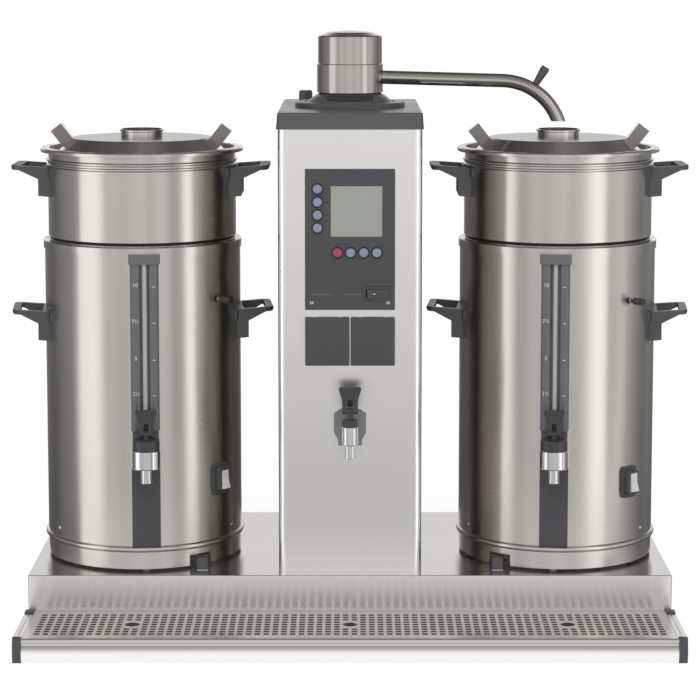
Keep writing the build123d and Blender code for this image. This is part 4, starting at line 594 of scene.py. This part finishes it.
piece("switch_dot", dot, print_white, "mains_rocker")

# Panel screws and lines. Two stainless screws with a dished head hold the panel at its lower corners, and
# thin lines are screen-printed on it, beside the menu buttons in black and level with the switch in grey.
# The heads of the screws are bright from turning, and duller in patches.
screw_steel, tree, shader = surface("stainless_screw_turned", {
    "Metallic": 1.0, "Base Color": linear("c4c1bd")})
wear = node(tree, "TexNoise", {"Scale": 300.0}, {"Vector": node(tree, "TexCoord").outputs["Object"]})
dull = node(tree, "MapRange", {"To Min": 0.2, "To Max": 0.4}, {"Value": wear.outputs["Fac"]})
tree.links.new(dull.outputs[0], shader.inputs["Roughness"])
screw_profile = ((0.0, 0.0), (0.0009, 0.0), (0.0011, 0.0006), (0.0020, 0.0007), (0.0026, 0.0003),
                 (0.0027, -0.0005), (0.0, -0.0005))
screws = []
for x in (-0.053, 0.053):
    screw = turned(screw_profile, turns=24)
    bmesh.ops.transform(screw, verts=screw.verts[:], matrix=Matrix.Translation(
        (x, panel_face - 0.0002, 0.4720)) @ facing_front)
    screws.append(screw)
piece("panel_screws", joined(screws), screw_steel, "stand")
print_grey = moulded("screen_print_grey", "8a8a8c", 0.40, 0.7, 0.00001)
for name, material, lines in (
        ("button_lines", bezel_black, [(-0.0319, z, 0.0094, 0.0009) for x, z in button_places[:3]]),
        ("panel_rule", print_grey, [(-0.0400, 0.4832, 0.0300, 0.0005), (0.0030, 0.4832, 0.0260, 0.0005)])):
    bars = []
    for x, z, width, tall in lines:
        bar = bmesh.new()
        bmesh.ops.create_cube(bar, size=1.0, matrix=Matrix.Translation(
            (x, panel_face, z)) @ Matrix.Diagonal((width, 0.0002, tall, 1.0)))
        bars.append(bar)
    piece(name, joined(bars), material, "stand", smooth=0)

# Taps. The bodies are brass, turned, polished and chromed, and the bonnets and levers are smooth
# polyamide mouldings. The urns' taps are turned 5.5 degrees towards the middle of the machine.
tap_turn = radians(5.5)
urn_low, urn_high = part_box("filter_lid_right")
urn_x = (urn_low.x + urn_high.x) / 2
urn_y = (urn_low.y + urn_high.y) / 2
# Chrome mirrors nearly all, and fingers leave it a little dull in places.
chrome, tree, shader = surface("brass_chrome_plated", {"Metallic": 1.0, "Base Color": linear("e2e2e2")})
smudges = node(tree, "TexNoise", {"Scale": 220.0, "Detail": 2.0},
               {"Vector": node(tree, "TexCoord").outputs["Object"]})
dull = node(tree, "MapRange", {"To Min": 0.06, "To Max": 0.16}, {"Value": smudges.outputs["Fac"]})
tree.links.new(dull.outputs[0], shader.inputs["Roughness"])
# The plates behind the urns' taps are ground sheet. A point is on a plate when it lies near the wall,
# measured along the tap from the urn's axis.
plate_face = 0.1422
tree, place = coordinates(chrome)
sideways = node(tree, "Math", {"operation": "ABSOLUTE"}, {0: place["X"]})
outwards = node(tree, "Math", {"operation": "MULTIPLY", 1: -sin(tap_turn)}, {0: sideways.outputs[0]})
forwards = node(tree, "Math", {"operation": "MULTIPLY_ADD", 1: -cos(tap_turn)},
                {0: place["Y"], 2: outwards.outputs[0]})
plate_end = plate_face - urn_x * sin(tap_turn) - urn_y * cos(tap_turn)
near_wall = node(tree, "Math", {"operation": "LESS_THAN", 1: plate_end}, {0: forwards.outputs[0]})
off_middle = node(tree, "Math", {"operation": "GREATER_THAN", 1: 0.2}, {0: sideways.outputs[0]})
on_plate = node(tree, "Math", {"operation": "MULTIPLY"}, {0: near_wall.outputs[0], 1: off_middle.outputs[0]})
masked(chrome, on_plate, "d6d2cd", 0.28)
dress(["hot_tap_body", "tap_body_left", "tap_body_right"], chrome)
tap_black = moulded("polyamide_tap_smooth", "424244", 0.32, 0.8, 0.00002)
dress(["hot_tap_bonnet", "hot_tap_lever", "tap_bonnet_left", "tap_bonnet_right",
       "tap_lever_left", "tap_lever_right"], tap_black)
# The hot tap's back plate is moulded in a lighter grey, with a soft satin sheen.
backplate_grey = moulded("polyamide_backplate_grey", "8a8a8c", 0.40, 0.8, 0.00002)
dress(["hot_tap_backplate"], backplate_grey)


# Lever forks. A dull black block fills the fork of each tap lever, between its two prongs. It is painted
# shade that stands in for the dark gap of the fork.
def seat(hand):
    """The place of an urn: its axis, turned so that its tap points towards the middle."""
    side = -1 if hand == "left" else 1
    return Matrix.Translation((side * urn_x, urn_y, 0.0)) @ Matrix.Rotation(-side * tap_turn, 4, "Z")


spring_black = moulded("black_fork_painted_shade", "101011", 0.5, 0.8, 0.00002)
spring_depth = 0.0050
spring_height = 0.0097
urn_fork = Matrix.Translation((0.0, -0.17175, 0.2946))
for name, body, fork, width in (
        ("hot_lever_fork_shade", "hot_lever", Matrix.Translation((0.0, -0.155, 0.3306)), 0.0084),
        ("lever_left_fork_shade", "lever_left", seat("left") @ urn_fork, 0.0064),
        ("lever_right_fork_shade", "lever_right", seat("right") @ urn_fork, 0.0064)):
    shape = bmesh.new()
    bmesh.ops.create_cube(shape, size=1.0, matrix=Matrix.Diagonal((width, spring_depth, spring_height, 1.0)))
    bmesh.ops.bevel(shape, geom=shape.edges[:], offset=0.0006, offset_type="OFFSET", segments=2,
                    profile=0.5, affect="EDGES", material=-1)
    bmesh.ops.transform(shape, verts=shape.verts[:],
                        matrix=fork @ Matrix.Translation((0.0, 0.0, spring_height / 2)))
    piece(name, shape, spring_black, body)

# Urns. Each shell is rolled from sheet that is ground round it, so its highlights stand as tall bands. It
# is beaded over the skirt and closed with a rim band, and the handles are screwed to it from inside.
urn_radius = 0.14075
shell_steel = ground_steel("stainless_shell_ground_round", "d6d2cd", 0.26, (120, 120, 2))


def from_urn_axis(tree, place):
    """The socket that gives a point's distance from the axis of its urn."""
    sideways = node(tree, "Math", {"operation": "ABSOLUTE"}, {0: place["X"]})
    across = node(tree, "Math", {"operation": "SUBTRACT", 1: urn_x}, {0: sideways.outputs[0]})
    inwards = node(tree, "Math", {"operation": "SUBTRACT", 1: urn_y}, {0: place["Y"]})
    off_axis = node(tree, "CombineXYZ", links={0: across.outputs[0], 1: inwards.outputs[0]})
    return node(tree, "VectorMath", {"operation": "LENGTH"}, {0: off_axis.outputs[0]}).outputs["Value"]


# The lifting stud at the right of each shell is a turned pin, darker than the sheet.
stud_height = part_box("container_shell_left")[1].z - 0.079
stud_radius = 0.0055
tree, place = coordinates(shell_steel)
proud = node(tree, "Math", {"operation": "GREATER_THAN", 1: urn_radius + 0.00085},
             {0: from_urn_axis(tree, place)})
from_stud = node(tree, "Math", {"operation": "SUBTRACT", 1: stud_height}, {0: place["Z"]})
off_level = node(tree, "Math", {"operation": "ABSOLUTE"}, {0: from_stud.outputs[0]})
level_with_stud = node(tree, "Math", {"operation": "LESS_THAN", 1: stud_radius}, {0: off_level.outputs[0]})
stud = node(tree, "Math", {"operation": "MULTIPLY"}, {0: proud.outputs[0], 1: level_with_stud.outputs[0]})
masked(shell_steel, stud, "6a6764", 0.30)
# Tanks and baskets are deep-drawn, and are left duller than the shells.
tank_steel = ground_steel("stainless_tank_drawn", "c8c6c2", 0.34, (60, 60, 3))
# The gauge's rail is polyamide from a polished mould. Its lower part, below the tap, is painted darker, a
# painted shade of the tap, and is duller.
rail_grey = moulded("polyamide_gauge_rail", "6c6c6f", 0.20, 0.8, 0.00002)
tap_level = 0.262
tree, place = coordinates(rail_grey)
under_tap = node(tree, "Math", {"operation": "LESS_THAN", 1: tap_level}, {0: place["Z"]})
masked(rail_grey, under_tap, "4c4c4f", 0.30)
# The sight tube is drawn from borosilicate glass: clear and smooth, with pale water behind it.
glass, tree, shader = surface("borosilicate_glass_tube", {
    "Transmission Weight": 0.3, "IOR": 1.47, "Base Color": linear("cfd0d1")})
streaks = node(tree, "TexNoise", {"Scale": 60.0}, {"Vector": node(tree, "TexCoord").outputs["Object"]})
dull = node(tree, "MapRange", {"To Min": 0.02, "To Max": 0.10}, {"Value": streaks.outputs["Fac"]})
tree.links.new(dull.outputs[0], shader.inputs["Roughness"])
# The rockers of the heaters' switches are white polycarbonate with a soft gloss.
rocker_white = moulded("polycarbonate_rocker_white", "e9e9e6", 0.25, 0.9, 0.00002)
for hand in ("left", "right"):
    dress(["container_shell_" + hand, "filter_vessel_" + hand], shell_steel)
    dress(["container_tank_" + hand, "filter_basket_" + hand], tank_steel)
    dress(["gauge_rail_" + hand], rail_grey)
    dress(["gauge_tube_" + hand], glass)
    dress(["container_handles_" + hand, "vessel_handles_" + hand, "switch_housing_" + hand], polyamide)
    dress(["heater_rocker_" + hand], rocker_white)

# Gauge scale. Numbers and dashes are screen-printed in white on the two round rails beside the sight
# tube, one mark for every 2.5 litres. The ink has next to no thickness.
rail_radius = 0.00725
rail_axis = -(urn_radius + 0.009 - rail_radius)
rail_offset = 0.020 - rail_radius
ink_gap = 0.00008


def wrap(shape, across):
    """Cuts a flat mark, drawn in X and Z, into upright strips and lays it on a rail's rounded front."""
    for k in range(-6, 7):
        bmesh.ops.bisect_plane(shape, geom=shape.verts[:] + shape.edges[:] + shape.faces[:], dist=0.000001,
                               plane_co=(across + 0.0009 * k, 0.0, 0.0), plane_no=(1.0, 0.0, 0.0))
    for v in shape.verts:
        v.co.y = rail_axis - ink_gap - sqrt(max(rail_radius ** 2 - (v.co.x - across) ** 2, 0.0))


for hand in ("left", "right"):
    marks = []
    for text, z in (("10", 0.495), ("7½", 0.444), ("5", 0.392), ("2½", 0.342)):
        letters = bpy.data.curves.new("number", "FONT")
        letters.body = text
        letters.size = 0.0078
        letters.align_x = "CENTER"
        letters.align_y = "CENTER"
        letters.resolution_u = 3
        drawn = bpy.data.objects.new("number", letters)
        flat = bpy.data.meshes.new_from_object(drawn)
        number = bmesh.new()
        number.from_mesh(flat)
        bpy.data.objects.remove(drawn)
        bpy.data.curves.remove(letters)
        bpy.data.meshes.remove(flat)
        bmesh.ops.transform(number, verts=number.verts[:],
                            matrix=Matrix.Translation((-rail_offset, 0.0, z)) @ facing_front)
        wrap(number, -rail_offset)
        dash = bmesh.new()
        bmesh.ops.create_grid(dash, x_segments=1, y_segments=1, size=0.5, matrix=Matrix.Translation(
            (rail_offset, 0.0, z - 0.0025)) @ facing_front @ Matrix.Diagonal((0.0036, 0.0012, 1.0, 1.0)))
        wrap(dash, rail_offset)
        marks += [number, dash]
    scale = joined(marks)
    bmesh.ops.recalc_face_normals(scale, faces=scale.faces[:])
    if sum(f.normal.y * f.calc_area() for f in scale.faces) > 0:
        bmesh.ops.reverse_faces(scale, faces=scale.faces[:])
    bmesh.ops.transform(scale, verts=scale.verts[:], matrix=seat(hand))
    piece("gauge_scale_" + hand, scale, print_white, "container_" + hand, smooth=0)

# Seals and shell screws. A ring of EPDM rubber, moulded, black and matt, lies in the gap under each
# filter vessel. Its black is partly the seal's own and partly painted shade of that gap. Two domed
# stainless screws low on each shell hold its bottom plate.
epdm = moulded("epdm_seal_and_painted_gap_shade", "151515", 0.60, 0.8, 0.00002)
seal_profile = ((0.1273, 0.5472), (0.1325, 0.5472), (0.1332, 0.5480), (0.1332, 0.5502), (0.1325, 0.5509),
                (0.1273, 0.5509))
dome_profile = ((0.0, 0.0020), (0.0012, 0.0018), (0.0025, 0.0011), (0.0034, 0.0003), (0.0036, -0.0006),
                (0.0, -0.0006))
dome_height = 0.1350
for hand in ("left", "right"):
    seal = turned(seal_profile, turns=128)
    bmesh.ops.transform(seal, verts=seal.verts[:], matrix=seat(hand))
    piece("vessel_seal_" + hand, seal, epdm, "vessel_" + hand)
    screws = []
    for turn in (-61.5, 61.5):
        screw = turned(dome_profile, turns=24)
        bmesh.ops.transform(screw, verts=screw.verts[:], matrix=seat(hand) @ Matrix.Rotation(
            radians(turn), 4, "Z") @ Matrix.Translation((0.0, -urn_radius, dome_height)) @ facing_front)
        screws.append(screw)
    piece("shell_screws_" + hand, joined(screws), screw_steel, "container_" + hand)

# Lids. Each is spun from stainless sheet over a form, which leaves it smooth, with a rolled inlet in its
# middle and two folded grips welded on. It reflects sharply and nearly the same in all directions.
lid_steel = ground_steel("stainless_lid_spun", "d2cfca", 0.17, (120, 120, 2), settings={"Anisotropic": 0.2})
grip_from = 0.085
skirt_top = 0.6725
inlet_radius = 0.0245
tree, place = coordinates(lid_steel)
facing = node(tree, "SeparateXYZ", links={0: node(tree, "NewGeometry").outputs["Normal"]})
# The front edges of the grips are sheared, and so dark and dull.
sideways = node(tree, "Math", {"operation": "ABSOLUTE"}, {0: place["X"]})
across = node(tree, "Math", {"operation": "SUBTRACT", 1: urn_x}, {0: sideways.outputs[0]})
from_middle = node(tree, "Math", {"operation": "ABSOLUTE"}, {0: across.outputs[0]})
at_grip = node(tree, "Math", {"operation": "GREATER_THAN", 1: grip_from}, {0: from_middle.outputs[0]})
edge_on = node(tree, "Math", {"operation": "LESS_THAN", 1: -0.93}, {0: facing.outputs["Y"]})
above_skirt = node(tree, "Math", {"operation": "GREATER_THAN", 1: skirt_top}, {0: place["Z"]})
upper_edge = node(tree, "Math", {"operation": "MULTIPLY"},
                  {0: edge_on.outputs[0], 1: above_skirt.outputs[0]})
grip_edge = node(tree, "Math", {"operation": "MULTIPLY"}, {0: at_grip.outputs[0], 1: upper_edge.outputs[0]})
masked(lid_steel, grip_edge, "8b8886", 0.35)
# The flat top has fine wiping marks, and the inlet is darker where coffee has tinted it.
flat_top = node(tree, "Math", {"operation": "GREATER_THAN", 1: 0.97}, {0: facing.outputs["Z"]})
masked(lid_steel, flat_top, "b4b0ab", 0.30)
inlet = node(tree, "Math", {"operation": "LESS_THAN", 1: inlet_radius}, {0: from_urn_axis(tree, place)})
masked(lid_steel, inlet, "8f8b87", 0.22)
dress(["filter_lid_left", "filter_lid_right"], lid_steel)
